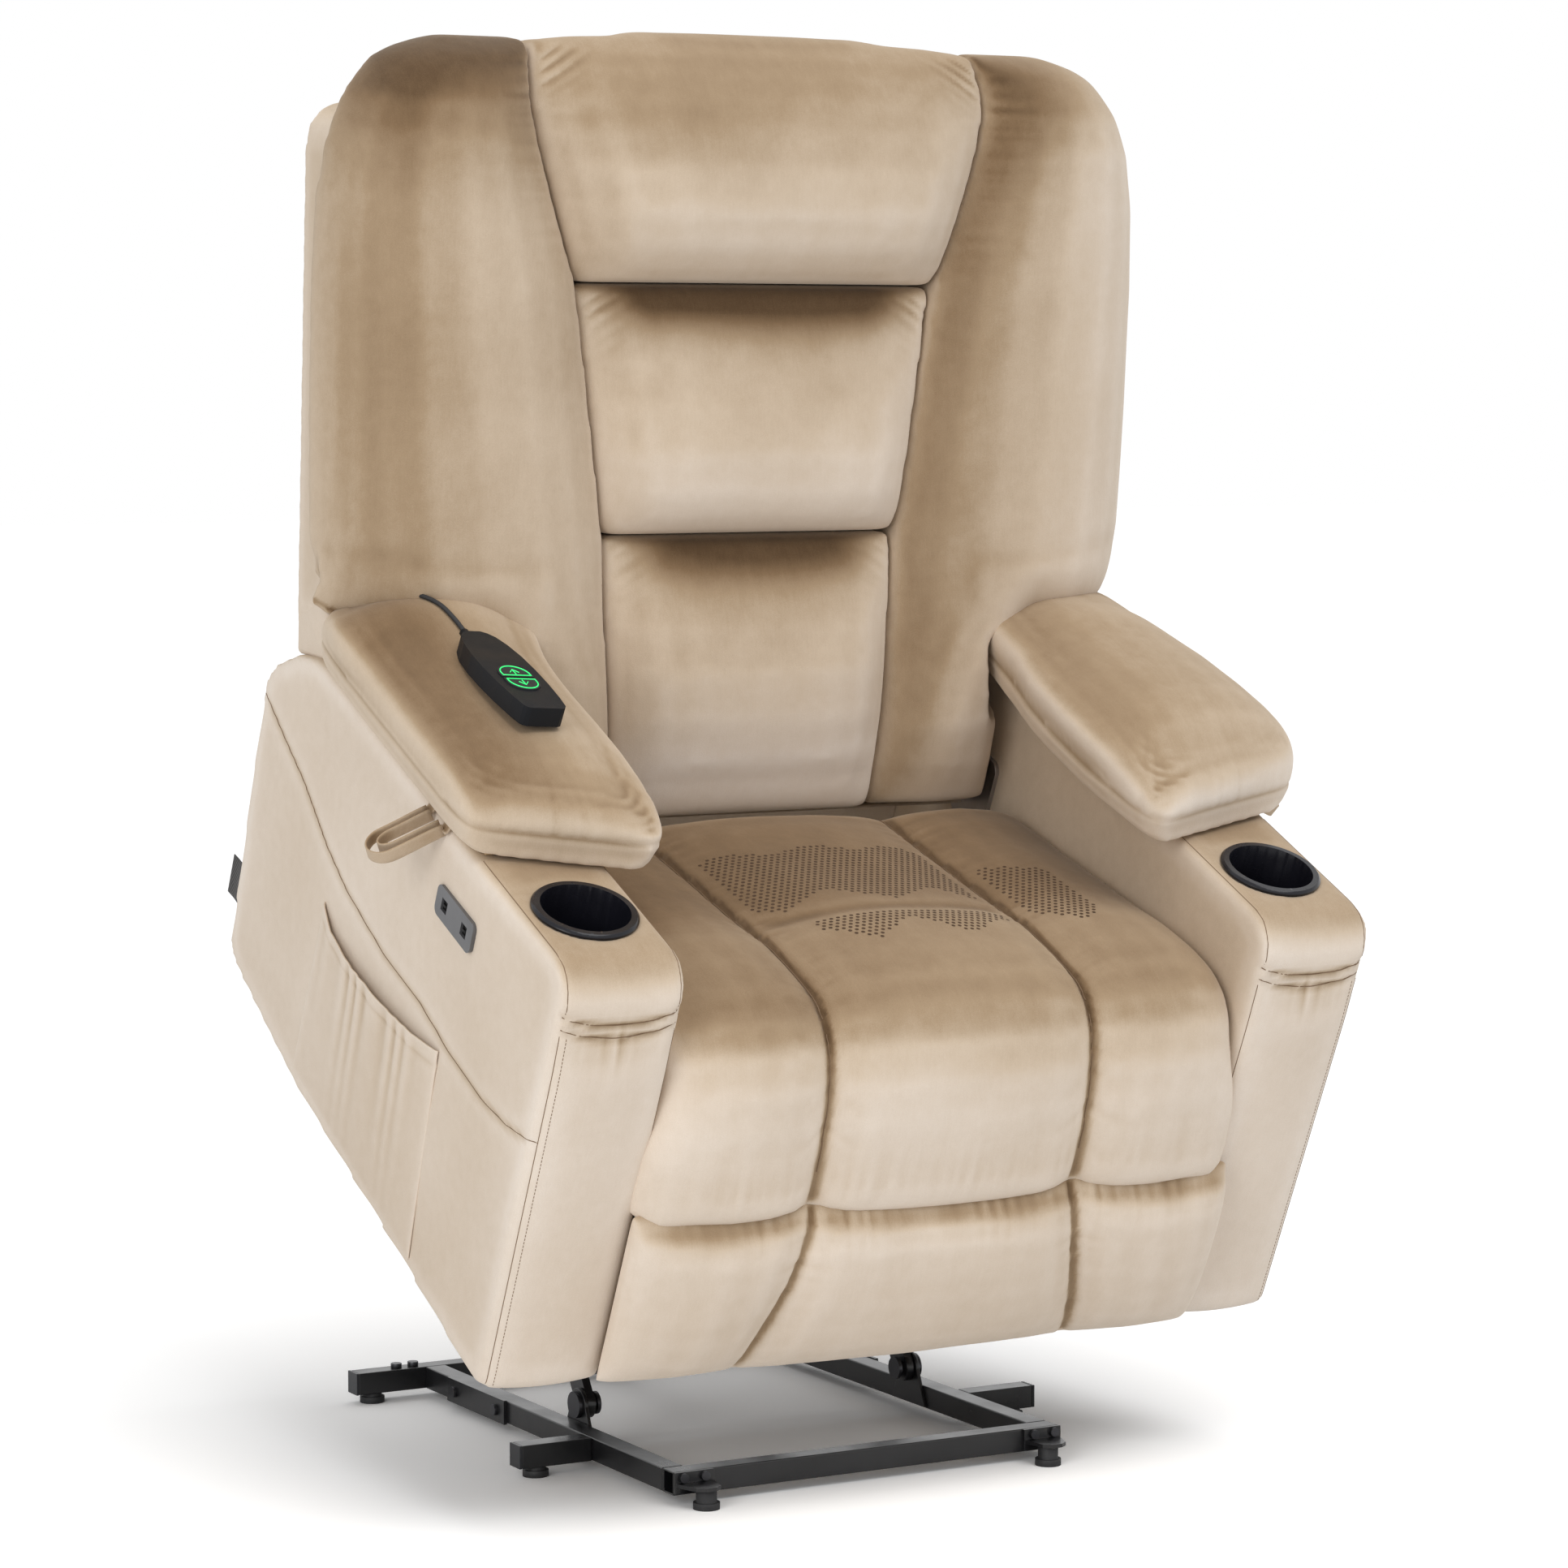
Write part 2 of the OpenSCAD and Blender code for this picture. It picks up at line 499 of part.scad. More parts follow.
module back_frame() color("burlywood") at_back() {
  difference() {
    plate_y(pad_deep, 112) union() {
      translate([-frame_foot, 0]) square([2 * frame_foot, 700]);
      translate([-shell_half + 8, 250]) square([2 * shell_half - 16, 445]);
    }
    plate_y(pad_deep - 1, 113) union() {
      for (x = [-265, 10]) for (h = [45, 290, 500]) translate([x, h]) square([255, h == 290 ? 170 : 165]);
    }
  }
  both() difference() {
    plate_x(frame_foot, frame_foot + 7) union() {
      translate([40, 5]) square([110, 60]);
      translate([recline_d, recline_h]) circle(r = 18);
    }
    rod_x(frame_foot - 1, frame_foot + 8, recline_d, recline_h, 7.05);
  }
}

// ---- footrest ----
module footrest_crank() color("silver") lifted() {
  both() {
    plate_x(mech_x + 6, mech_x + 11) bar2(crank_at, crank_end, 22);
    rod_x(mech_x, mech_x + 6, crank_at[0], crank_at[1], 5);
    rod_x(mech_x + 11, mech_x + 17.5, crank_end[0], crank_end[1], 5);
  }
  rod_x(-mech_x - 6, mech_x + 6, (crank_at[0] + crank_end[0]) / 2, (crank_at[1] + crank_end[1]) / 2, 6);
}
module footrest_link() color("silver") lifted() {
  both() {
    difference() {
      plate_x(mech_x + 12, mech_x + 17) bar2(crank_end, board_at, 22);
      rod_x(mech_x + 11, mech_x + 18, crank_end[0], crank_end[1], 5.05);
    }
    rod_x(mech_x + 17, mech_x + 24, board_at[0], board_at[1], 5);
  }
}
module footrest_board() color("burlywood") lifted() {
  box([-arm_in + 7, 20, 6], [arm_in - 7, 33, 196]);
  both() difference() {
    plate_x(mech_x + 18, mech_x + 24) union() {
      translate([33, board_at[1] - 20]) square([15, 40]);
      translate(board_at) circle(r = 11);
    }
    rod_x(mech_x + 17, mech_x + 25, board_at[0], board_at[1], 5.05);
  }
}
function rest_seam(z) = lookup(z, [[0, 193], [60, 180], [130, 161], [205, 146]]);
function rest_x(u, z) = abs(u) <= 1 ? u * rest_seam(z) : sign(u) * (rest_seam(z) + (abs(u) - 1) * (rest_half - rest_seam(z)));
function rest_rise(u) = lookup(abs(u), [[0, 1], [0.5, 0.95], [0.8, 0.72], [0.93, 0.35], [1, -0.15], [1.07, 0.35],
  [1.2, 0.75], [1.5, 0.95], [1.8, 0.7], [1.93, 0.25], [2, -0.3]]);
rest_line = [[20, 198, 0], [8, 198, 3], [0, 193, 12], [-8, 182, 20], [-12, 160, 24], [-13, 130, 26], [-12, 98, 27],
  [-9, 66, 26], [-5, 38, 22], [0, 18, 14], [6, 7, 6], [20, 4, 0]];
module footrest_cushion() color("tan") lifted() loft([for (u = [-2, -1.93, -1.8, -1.5, -1.2, -1.07, -1, -0.93, -0.8,
  -0.5, 0, 0.5, 0.8, 0.93, 1, 1.07, 1.2, 1.5, 1.8, 1.93, 2])
  [for (p = rest_line) [rest_x(u, p[1]), p[0] == 20 ? 20 : min(19, p[0] - p[2] * rest_rise(u)), p[1]]]]);

// ---- arm pads ----
pad_front = 215;
pad_rear = 655;
pad_half = (arm_out - arm_in) / 2 + 31;
pad_mid = arm_mid - 13.5;
pad_low = arm_high + 1.6;
function pad_wide(t) = lookup(t, [[-1, 0.82], [-0.98, 0.91], [-0.93, 0.97], [-0.85, 0.99], [-0.7, 1], [0.6, 1], [0.8, 0.985],
  [0.9, 0.95], [0.95, 0.89], [0.98, 0.8], [1, 0.66]]);
// height of the crown along the pad: it falls gently to the front and stays full to the rear
function pad_tall(t) = lookup(t, [[-1, 0.12], [-0.98, 0.28], [-0.93, 0.5], [-0.85, 0.7], [-0.7, 0.88], [-0.5, 0.97],
  [0, 1], [0.4, 1.02], [0.7, 1], [0.84, 0.9], [0.93, 0.72], [0.98, 0.45], [1, 0.2]]);
pad_ring = concat([[-0.84, 0, 0], [-0.3, 0, 0], [0.3, 0, 0], [0.84, 0, 0], [0.96, 0.35, 0], [1, 1, 0]],
  [for (a = [15:15:165]) [sign(cos(a)) * pow(abs(cos(a)), 0.8), 1, pow(sin(a), 0.8)]], [[-1, 1, 0], [-0.96, 0.35, 0]]);
// the right pad's front two thirds are fuller than the left pad's: to each side, and in the crown
function fuller(t) = lookup(t, [[-1, 11], [-0.85, 16], [-0.5, 19], [-0.1, 18], [0.1, 11], [0.3, 2], [0.4, 0]]);
function taller(t) = lookup(t, [[-1, 2], [-0.93, 7], [-0.7, 15], [-0.4, 18], [-0.1, 14], [0.2, 4], [0.4, 0]]);
module pad(extra = 0) difference() {
  loft([for (t = [-1, -0.98, -0.93, -0.85, -0.7, -0.5, -0.25, 0, 0.25, 0.5, 0.7, 0.84, 0.93, 0.98, 1])
    [for (p = pad_ring) let (x = pad_mid + p[0] * (pad_half * pad_wide(t) + extra * fuller(t)))
      [x, (pad_front + pad_rear) / 2 + t * (pad_rear - pad_front) / 2 + (t < 0 ? t * t * 0.3 * (x - pad_mid) : 0),
       pad_low + p[1] * (pad_seam - pad_low) + p[2] * (pad_crown * pad_tall(t) + extra * taller(t))]]], true);
  box([arm_in + 0.5, 236, 400], [lid_out, 608, arm_high + 12.3]);
}
module pad_wood() {
  box([arm_in + 13, 246.4, arm_high + 0.3], [lid_out, 597.6, arm_high + 12.3]);
  difference() {
    union() {
      rod_y(hinge_x, 246.4, 597.6, hinge_z, 4);
      box([hinge_x, 246.4, hinge_z - 2], [arm_in + 13, 597.6, hinge_z + 4]);
    }
    box([hinge_x - 6, 240, 400], [arm_in + 13, 600, arm_high + 0.3]);
  }
  rod_y(hinge_x, 239, 605, hinge_z, 2);
}
module arm_pad_left() color("tan") lifted() mirror([1, 0, 0]) pad();
module arm_pad_right() color("tan") lifted() pad(1);
module pad_board_left() color("burlywood") lifted() mirror([1, 0, 0]) pad_wood();
module pad_board_right() color("burlywood") lifted() pad_wood();
// flat ribbon folded into a loop that sticks out from under the pad, on a tab nailed to the lid
loop_y = 329;
loop_z = 462;
loop_long = 54;
loop_half = 20;
ribbon = 1.6;
ribbon_w = 12;
module loop() {
  translate([arm_out + 4.4, loop_y, loop_z]) rotate([0, 27, 0]) difference() {
    union() {
      box([0, -loop_half, -ribbon_w / 2], [loop_long, loop_half, ribbon_w / 2]);
      translate([loop_long, 0, -ribbon_w / 2]) cylinder(r = loop_half, h = ribbon_w);
    }
    box([-1, -loop_half + ribbon, -ribbon_w], [loop_long, loop_half - ribbon, ribbon_w]);
    translate([loop_long, 0, -ribbon_w]) cylinder(r = loop_half - ribbon, h = 2 * ribbon_w);
  }
  box([arm_out + 0.3, loop_y - loop_half, loop_z - 6], [arm_out + 1.6, loop_y + loop_half, pad_low - 0.1]);
  box([lid_out + 0.4, loop_y - loop_half, arm_high + 0.3], [arm_out + 1.6, loop_y + loop_half, pad_low - 0.1]);
}
module loop_left() color("tan") lifted() mirror([1, 0, 0]) loop();
module loop_right() color("tan") lifted() loop();

// ---- handset ----
hand_at = [-372, 409, 561.7];
hand_turn = 2;
hand_tip = -1;
hand_roll = 5;
hand_side = [[-84, 17], [-82, 21], [-78, 23.5], [-60, 26], [-30, 28.3], [0, 29], [30, 28], [55, 24.5], [72, 19.5], [80, 14],
  [84, 8]];
key_r = 18;
key_long = 8;
module at_hand() lifted() translate(hand_at) rotate([hand_tip, hand_roll, hand_turn]) children();
module handset() color("black") at_hand() difference() {
  union() {
    linear_extrude(20) polygon(concat([for (p = hand_side) [p[1], p[0]]],
      [for (i = [len(hand_side) - 1:-1:0]) [-hand_side[i][1], hand_side[i][0]]]));
    rod_y(0, 80, 100, 10, 5);
  }
  rod_y(0, 88, 101, 10, 2.6);
  for (s = [-1, 1]) translate([0, 0, 16.5]) linear_extrude(10) key_line(s, 0.25);
}
// one half of the oval key field, grown by g
module key_line(s, g) translate([0, -20]) intersection() {
  bar2([0, -key_long], [0, key_long], 2 * (key_r + g), 1);
  translate([-key_r - 2, s > 0 ? 1.5 - g : -key_r - key_long - 2]) square([2 * key_r + 4, key_r + key_long + 0.5 + g]);
}
module button_up() color("dimgray") at_hand() translate([0, 0, 17.7]) linear_extrude(3.6) key_line(1, 0);
module button_down() color("dimgray") at_hand() translate([0, 0, 17.7]) linear_extrude(3.6) key_line(-1, 0);

cord_r = 2.4;
// hand-chosen points of the handset cord in the body frame
cord_pts = [[-374.4, 499, 570.1], [-374.8, 510, 569.9], [-376.5, 530, 568], [-380, 555, 564.5], [-386, 580, 562],
  [-394, 602, 559.5], [-402, 620, 554.5], [-410, 636, 547.5], [-416, 649, 536], [-419, 658, 521], [-419.5, 664, 506],
  [-419, 673, 494], [-418, 681, 485], [-418, 683.3, 475.4], [-418, 678.4, 464.4], [-418, 671, 447.5]];
function curve(p0, p1, p2, p3, t) = 0.5 * (2 * p1 + (p2 - p0) * t + (2 * p0 - 5 * p1 + 4 * p2 - p3) * t * t
  + (3 * p1 - p0 - 3 * p2 + p3) * t * t * t);
function unit(v) = v / norm(v);
module handset_cord() color("black") lifted() {
  n = len(cord_pts);
  path = [for (i = [0:n - 2]) for (s = [0:3]) curve(cord_pts[max(i - 1, 0)], cord_pts[i], cord_pts[i + 1],
    cord_pts[min(i + 2, n - 1)], s / 4), cord_pts[n - 1]];
  m = len(path);
  loft([for (i = [0:m - 1]) let (d = unit(path[min(i + 1, m - 1)] - path[max(i - 1, 0)]), a = unit(cross(d, [1, 0, 0])),
    b = cross(d, a)) [for (k = [0:9]) path[i] + cord_r * (cos(36 * k) * a + sin(36 * k) * b)]]);
}

rail_left();
rail_right();
front_bar();
rear_bar();
mid_outriggers();
tube_caps();
foot_brackets();
glide_feet();
pivot_brackets();
base_fasteners();
motor_clevis();
lift_arms();
actuator_tube();
motor_housing();
actuator_rod();
seat_frame();
seat_webbing();
lift_frame();
seat_cushion();
arm_side_left();
arm_side_right();
arm_inner_left();
arm_inner_right();
arm_front_left();
arm_front_right();
arm_deck_left();
arm_deck_right();
cup_holder_left();
cup_holder_right();
storage_tray_left();
storage_tray_right();
usb_plate();
side_pocket();
control_box();
hinge_plates();
rear_apron();
side_tag();
cord_grommet();
wing_left();
wing_right();
head_pillow();
mid_cushion();
lumbar_cushion();
back_shell();
back_frame();
footrest_crank();
footrest_link();
footrest_board();
footrest_cushion();
arm_pad_left();
arm_pad_right();
pad_board_left();
pad_board_right();
loop_left();
loop_right();
handset();
button_up();
button_down();
handset_cord();
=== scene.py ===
import json
import math
import bpy
import bmesh
import numpy as np
from mathutils import Euler, Matrix, Vector
from mathutils.bvhtree import BVHTree


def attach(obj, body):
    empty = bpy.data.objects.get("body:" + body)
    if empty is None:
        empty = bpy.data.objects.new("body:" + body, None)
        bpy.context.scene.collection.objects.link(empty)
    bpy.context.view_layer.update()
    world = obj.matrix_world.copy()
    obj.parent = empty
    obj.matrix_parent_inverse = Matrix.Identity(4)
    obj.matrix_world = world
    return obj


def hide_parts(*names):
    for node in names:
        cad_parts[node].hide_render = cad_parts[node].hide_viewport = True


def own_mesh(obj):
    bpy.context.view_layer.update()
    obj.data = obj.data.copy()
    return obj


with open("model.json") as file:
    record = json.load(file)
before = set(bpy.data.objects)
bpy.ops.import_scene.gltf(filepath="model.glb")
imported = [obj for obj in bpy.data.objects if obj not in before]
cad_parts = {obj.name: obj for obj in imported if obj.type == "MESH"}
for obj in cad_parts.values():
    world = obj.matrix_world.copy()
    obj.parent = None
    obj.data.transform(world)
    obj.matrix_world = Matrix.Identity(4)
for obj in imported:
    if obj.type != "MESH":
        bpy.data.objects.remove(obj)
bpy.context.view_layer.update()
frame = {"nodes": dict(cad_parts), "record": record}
NODES = frame["nodes"]

# ---------------------------------------------------------------- frames of reference, millimetres to metres
TILT, LIFT, BACK_OFF = math.radians(24.75), 149.7, 195.5
LEAN, BACK_Y, BACK_Z = math.radians(21.2), 513.0, 340.0
C_T, S_T, C_L, S_L = math.cos(TILT), math.sin(TILT), math.cos(LEAN), math.sin(LEAN)
RAISE = np.array([[1, 0, 0], [0, C_T, -S_T], [0, S_T, C_T]])


def to_row(p):
    """Seated frame in mm to the row frame in m."""
    return ((np.asarray(p, float) + (0, 0, LIFT)) @ RAISE.T - (0, BACK_OFF, 0)) / 1000


def to_seat(p):
    """Row frame in m to the seated frame in mm."""
    return (np.asarray(p, float) * 1000 + (0, BACK_OFF, 0)) @ RAISE - (0, 0, LIFT)


def seat_to_back(p):
    """Seated frame to the back's own frame: across, depth, height."""
    y, z = p[:, 1] - BACK_Y, p[:, 2] - BACK_Z
    return np.stack([p[:, 0], y * C_L - z * S_L, y * S_L + z * C_L], 1)


def back_to_seat(q, vector=False):
    y, z = q[:, 1] * C_L + q[:, 2] * S_L, -q[:, 1] * S_L + q[:, 2] * C_L
    return np.stack([q[:, 0], y + (0 if vector else BACK_Y), z + (0 if vector else BACK_Z)], 1)


# ---------------------------------------------------------------- camera
camera = bpy.data.objects.new("camera", bpy.data.cameras.new("camera"))
bpy.context.scene.collection.objects.link(camera)
camera.location = (-2.412, -4.3625, 1.121)
camera.rotation_euler = Euler((math.radians(85.15), 0, math.radians(-29.02)))
camera.data.lens, camera.data.sensor_width = 110.4, 36
camera.data.clip_end = 60
bpy.context.scene.camera = camera


# ---------------------------------------------------------------- materials
def material(name, color, rough, **sockets):
    m = bpy.data.materials.new(name)
    m.use_nodes = True
    shader = m.node_tree.nodes["Principled BSDF"]
    shader.inputs["Base Color"].default_value = (*color, 1)
    shader.inputs["Roughness"].default_value = rough
    for k, v in sockets.items():
        shader.inputs[k.replace("_", " ")].default_value = v
    return m


def add(m, kind, values=None, **props):
    n = m.node_tree.nodes.new(kind)
    for k, v in props.items():
        setattr(n, k, v)
    for k, v in (values or {}).items():
        n.inputs[k].default_value = v
    return n


def join(m, a, out, b, inp):
    m.node_tree.links.new(a.outputs[out], b.inputs[inp])


def noise(m, scale, detail=3.0, stretch=None, rough=0.55):
    where = add(m, "ShaderNodeTexCoord")
    n = add(m, "ShaderNodeTexNoise", {"Scale": scale, "Detail": detail, "Roughness": rough})
    if stretch:
        mapping = add(m, "ShaderNodeMapping", {"Scale": stretch})
        join(m, where, "Object", mapping, "Vector")
        join(m, mapping, "Vector", n, "Vector")
    else:
        join(m, where, "Object", n, "Vector")
    return n


def ramp(m, source, out, stops):
    r = add(m, "ShaderNodeValToRGB")
    e = r.color_ramp.elements
    while len(e) < len(stops):
        e.new(0.5)
    for s, (at, c) in zip(e, stops):
        s.position, s.color = at, (*c, 1) if len(c) == 3 else c
    join(m, source, out, r, "Fac")
    return r


def calc(m, op, a, b, out_a=0, out_b=0):
    n = add(m, "ShaderNodeMath", operation=op)
    for i, (x, o) in enumerate(((a, out_a), (b, out_b))):
        if isinstance(x, (int, float)):
            n.inputs[i].default_value = x
        else:
            join(m, x, o, n, i)
    return n


def bump(m, source, out, strength, distance, previous=None):
    b = add(m, "ShaderNodeBump", {"Strength": strength, "Distance": distance})
    join(m, source, out, b, "Height")
    if previous:
        join(m, previous, "Normal", b, "Normal")
    return b


def finish_bump(m, b):
    join(m, b, "Normal", m.node_tree.nodes["Principled BSDF"], "Normal")


def base_ramp(m, source, stops, out="Fac"):
    """Colours the material's base from a texture, through a ramp."""
    join(m, ramp(m, source, out, stops), "Color", m.node_tree.nodes["Principled BSDF"], "Base Color")


def plush(name, stops, sheen=0.25):
    """Short velvet plush: its tone comes from the mesh's shade attribute, which holds painted light and
    shade, mottled by the lay of the nap.
    """
    m = material(name, (0.6, 0.48, 0.34), 0.92, Sheen_Weight=sheen, Sheen_Roughness=0.45,
                 Sheen_Tint=(1, 0.93, 0.82, 1), Specular_IOR_Level=0.15)
    tone = add(m, "ShaderNodeAttribute", attribute_name="shade")
    broad, small, fibre = noise(m, 9, 3), noise(m, 70, 4), noise(m, 1100, 2)
    brushed = noise(m, 1, 3, stretch=(420, 60, 60))
    total = tone
    key = "Fac"
    for source, weight in ((broad, 0.04), (small, 0.08), (fibre, 0.12), (brushed, 0.05)):
        part = calc(m, "MULTIPLY", calc(m, "SUBTRACT", source, 0.5), weight)
        total = calc(m, "ADD", total, part, key)
        key = 0
    base_ramp(m, total, stops, key)
    b = bump(m, fibre, "Fac", 0.35, 0.0006)
    b = bump(m, small, "Fac", 0.25, 0.0012, b)
    finish_bump(m, bump(m, brushed, "Fac", 0.15, 0.0006, b))
    return m


# plush colours from the deepest painted shade in a fold (0) to the palest painted light (1)
PLUSH_SHADE_STOPS = [(0.0, (0.10, 0.058, 0.028)), (0.2, (0.215, 0.137, 0.074)), (0.42, (0.375, 0.27, 0.17)),
               (0.66, (0.60, 0.485, 0.365)), (0.9, (0.77, 0.67, 0.57)), (1.0, (0.84, 0.755, 0.67))]
velvet = plush("velvet_plush", PLUSH_SHADE_STOPS)
thread = material("brown_thread", (0.20, 0.125, 0.07), 0.8)
finish_bump(thread, bump(thread, noise(thread, 1500, 2), "Fac", 0.5, 0.0004))
hole = material("perforation_shadow", (0.07, 0.037, 0.018), 0.95)
base_ramp(hole, noise(hole, 60, 2), [(0.3, (0.05, 0.025, 0.011)), (0.7, (0.09, 0.05, 0.026))])


def coated(name, color, rough, grain=700.0, depth=0.25, coat=0.0, metallic=0.0, wear=0.0):
    """Painted, plated or moulded surface with a fine grain and uneven gloss."""
    m = material(name, color, rough, Metallic=metallic, Coat_Weight=coat, Coat_Roughness=0.15)
    shader = m.node_tree.nodes["Principled BSDF"]
    fine, cloud = noise(m, grain, 2), noise(m, 18, 4)
    finish_bump(m, bump(m, fine, "Fac", depth, 0.0003))
    gloss = add(m, "ShaderNodeMapRange", {"From Min": 0.3, "From Max": 0.7, "To Min": rough * 0.8,
                                          "To Max": min(1, rough * 1.3)})
    join(m, cloud, "Fac", gloss, "Value")
    join(m, gloss, "Result", shader, "Roughness")
    light = tuple(min(1, c * 1.5 + wear) for c in color)
    base_ramp(m, cloud, [(0.35, color), (0.75, light)])
    return m


black_paint = coated("black_powder_coat", (0.006, 0.006, 0.007), 0.32, 900, 0.2, 0.2, 0, 0.002)
zinc = coated("zinc_plate", (0.42, 0.42, 0.44), 0.34, 1200, 0.15, 0, 1)
black_zinc = coated("black_zinc", (0.05, 0.05, 0.055), 0.32, 1200, 0.15, 0, 0.8)
black_shell = coated("black_plastic", (0.012, 0.013, 0.016), 0.36, 1500, 0.3, 0.1)
rubber = coated("black_rubber", (0.014, 0.014, 0.015), 0.6, 1100, 0.4)
grey_trim = coated("dark_anodised", (0.11, 0.11, 0.115), 0.33, 1400, 0.2, 0.15, 0.3)
wood = material("plywood", (0.5, 0.34, 0.18), 0.7)
grain_line = noise(wood, 1, 5, stretch=(60, 6, 6))
base_ramp(wood, grain_line, [(0.3, (0.32, 0.19, 0.09)), (0.7, (0.56, 0.40, 0.22))])
finish_bump(wood, bump(wood, grain_line, "Fac", 0.3, 0.0008))
woven = material("woven_tape", (0.03, 0.028, 0.027), 0.85, Sheen_Weight=0.2)
weave = add(woven, "ShaderNodeTexWave", {"Scale": 160, "Distortion": 1.5, "Detail": 2},
            bands_direction="DIAGONAL")
where = add(woven, "ShaderNodeTexCoord")
join(woven, where, "Object", weave, "Vector")
base_ramp(woven, weave, [(0.2, (0.018, 0.017, 0.017)), (0.8, (0.05, 0.047, 0.045))])
finish_bump(woven, bump(woven, weave, "Fac", 0.6, 0.0006))
tape = plush("plush_tape", PLUSH_SHADE_STOPS, 0.15)
glow = material("green_light", (0.02, 0.5, 0.12), 0.4, Emission_Color=(0.02, 0.75, 0.16, 1),
                Emission_Strength=1.0)
base_ramp(glow, noise(glow, 300, 2), [(0.3, (0.015, 0.42, 0.10)), (0.7, (0.03, 0.6, 0.16))])
key_black = coated("key_rubber", (0.02, 0.022, 0.024), 0.5, 1600, 0.3)
dark_well = coated("cup_well", (0.006, 0.006, 0.009), 0.22, 1500, 0.15, 0.3)
socket_dark = coated("port_inside", (0.004, 0.004, 0.004), 0.4, 1500, 0.1)
handset_black = coated("handset_plastic", (0.006, 0.007, 0.009), 0.45, 1500, 0.3)
for look in (handset_black, key_black, dark_well, socket_dark):
    look.node_tree.nodes["Principled BSDF"].inputs["Specular IOR Level"].default_value = 0.18

SLOT_LOOK = {"black_steel": black_paint, "bright_steel": zinc, "rubber_feet": rubber,
             "black_plastic": black_shell, "grey_plate": grey_trim, "frame_wood": wood, "webbing": woven,
             "plush": velvet, "covered_board": velvet}
slot_of = {s["node"]: s["material_slot"] for s in frame["record"]["subparts"]}
for node_name, ob in NODES.items():
    look = SLOT_LOOK[slot_of[node_name]]
    ob.data.materials.clear()
    ob.data.materials.append(look)
NODES["base_fasteners"].data.materials[0] = black_zinc
for node_name in ("cup_holder_left", "cup_holder_right"):
    NODES[node_name].data.materials[0] = dark_well
for node_name in ("button_up", "button_down"):
    NODES[node_name].data.materials[0] = key_black
NODES["handset"].data.materials[0] = handset_black


# ---------------------------------------------------------------- mesh tools
def new_object(name, mesh):
    ob = bpy.data.objects.new(name, mesh)
    bpy.context.scene.collection.objects.link(ob)
    return ob


def get_co(ob):
    co = np.empty(len(ob.data.vertices) * 3)
    ob.data.vertices.foreach_get("co", co)
    return co.reshape(-1, 3)


def set_co(ob, co):
    ob.data.vertices.foreach_set("co", np.asarray(co, np.float32).ravel())
    ob.data.update()


def normals(ob):
    n = np.empty(len(ob.data.vertices) * 3)
    ob.data.vertices.foreach_get("normal", n)
    return n.reshape(-1, 3)


def bake(ob):
    """Applies the object's modifiers."""
    done = bpy.data.meshes.new_from_object(ob.evaluated_get(bpy.context.evaluated_depsgraph_get()))
    ob.modifiers.clear()
    ob.data = done


def modify(ob, kind, **props):
    m = ob.modifiers.new(kind.lower(), kind)
    for k, v in props.items():
        setattr(m, k, v)
    return m


def copy_nodes(name, nodes):
    """One mesh of some CAD nodes, drawn in the seated frame in metres."""
    bm = bmesh.new()
    for n in nodes:
        bm.from_mesh(NODES[n].data)
    bmesh.ops.remove_doubles(bm, verts=bm.verts, dist=1e-6)
    mesh = bpy.data.meshes.new(name)
    bm.to_mesh(mesh)
    bm.free()
    ob = new_object(name, mesh)
    set_co(ob, to_seat(get_co(ob)) / 1000)
    return ob


def edges(ob):
    e = np.empty(len(ob.data.edges) * 2, np.int64)
    ob.data.edges.foreach_get("vertices", e)
    return e.reshape(-1, 2)


def relax(values, pairs, times, share=0.5):
    """Averages per-vertex values with their neighbours'."""
    v = np.array(values, float)
    flat = v.ndim == 1
    if flat:
        v = v[:, None]
    count = np.bincount(pairs.ravel(), minlength=len(v)).clip(1)[:, None]
    for _ in range(times):
        total = np.stack([np.bincount(pairs[:, 0], v[pairs[:, 1], k], len(v))
                          + np.bincount(pairs[:, 1], v[pairs[:, 0], k], len(v))
                          for k in range(v.shape[1])], 1)
        v = v * (1 - share) + share * total / count
    return v[:, 0] if flat else v


def field(p, size, seed, count=9):
    """Smooth random values, about -1 to 1, with features about size across."""
    rng = np.random.RandomState(seed)
    p = np.asarray(p, float)
    p = p.reshape(len(p), -1)
    k = rng.normal(size=(count, p.shape[1]))
    k *= (2 * math.pi / size) * (0.6 + 0.8 * rng.rand(count, 1)) / np.linalg.norm(k, axis=1, keepdims=True)
    return np.sin(p @ k.T + rng.rand(count) * 2 * math.pi).sum(1) * (1.3 / math.sqrt(count * 2))


def near(p, line):
    """Distance of 2-D points to a polyline."""
    best = np.full(len(p), 1e9)
    for a, b in zip(np.array(line[:-1], float), np.array(line[1:], float)):
        d = b - a
        t = np.clip((p - a) @ d / np.linalg.norm(d) ** 2, 0, 1)
        best = np.minimum(best, np.linalg.norm(p - a - t[:, None] * d, axis=1))
    return best


def bell(x, width):
    return np.exp(-(x / width) ** 2)


def step(x, low, high):
    t = np.clip((x - low) / (high - low), 0, 1)
    return t * t * (3 - 2 * t)


def pucker(dist, along, amp, reach, wave, seed):
    """Small folds that start at a seam and die out away from it."""
    fold = field(along, wave, seed) * 0.6 + field(along, wave * 0.55, seed + 1) * 0.4
    patch = 0.35 + 0.65 * step(field(along, wave * 6, seed + 2), -0.5, 0.7)
    fade = np.exp(-np.abs(dist) / reach) * step(np.abs(dist), 0, 3)
    return amp * fold * patch * fade


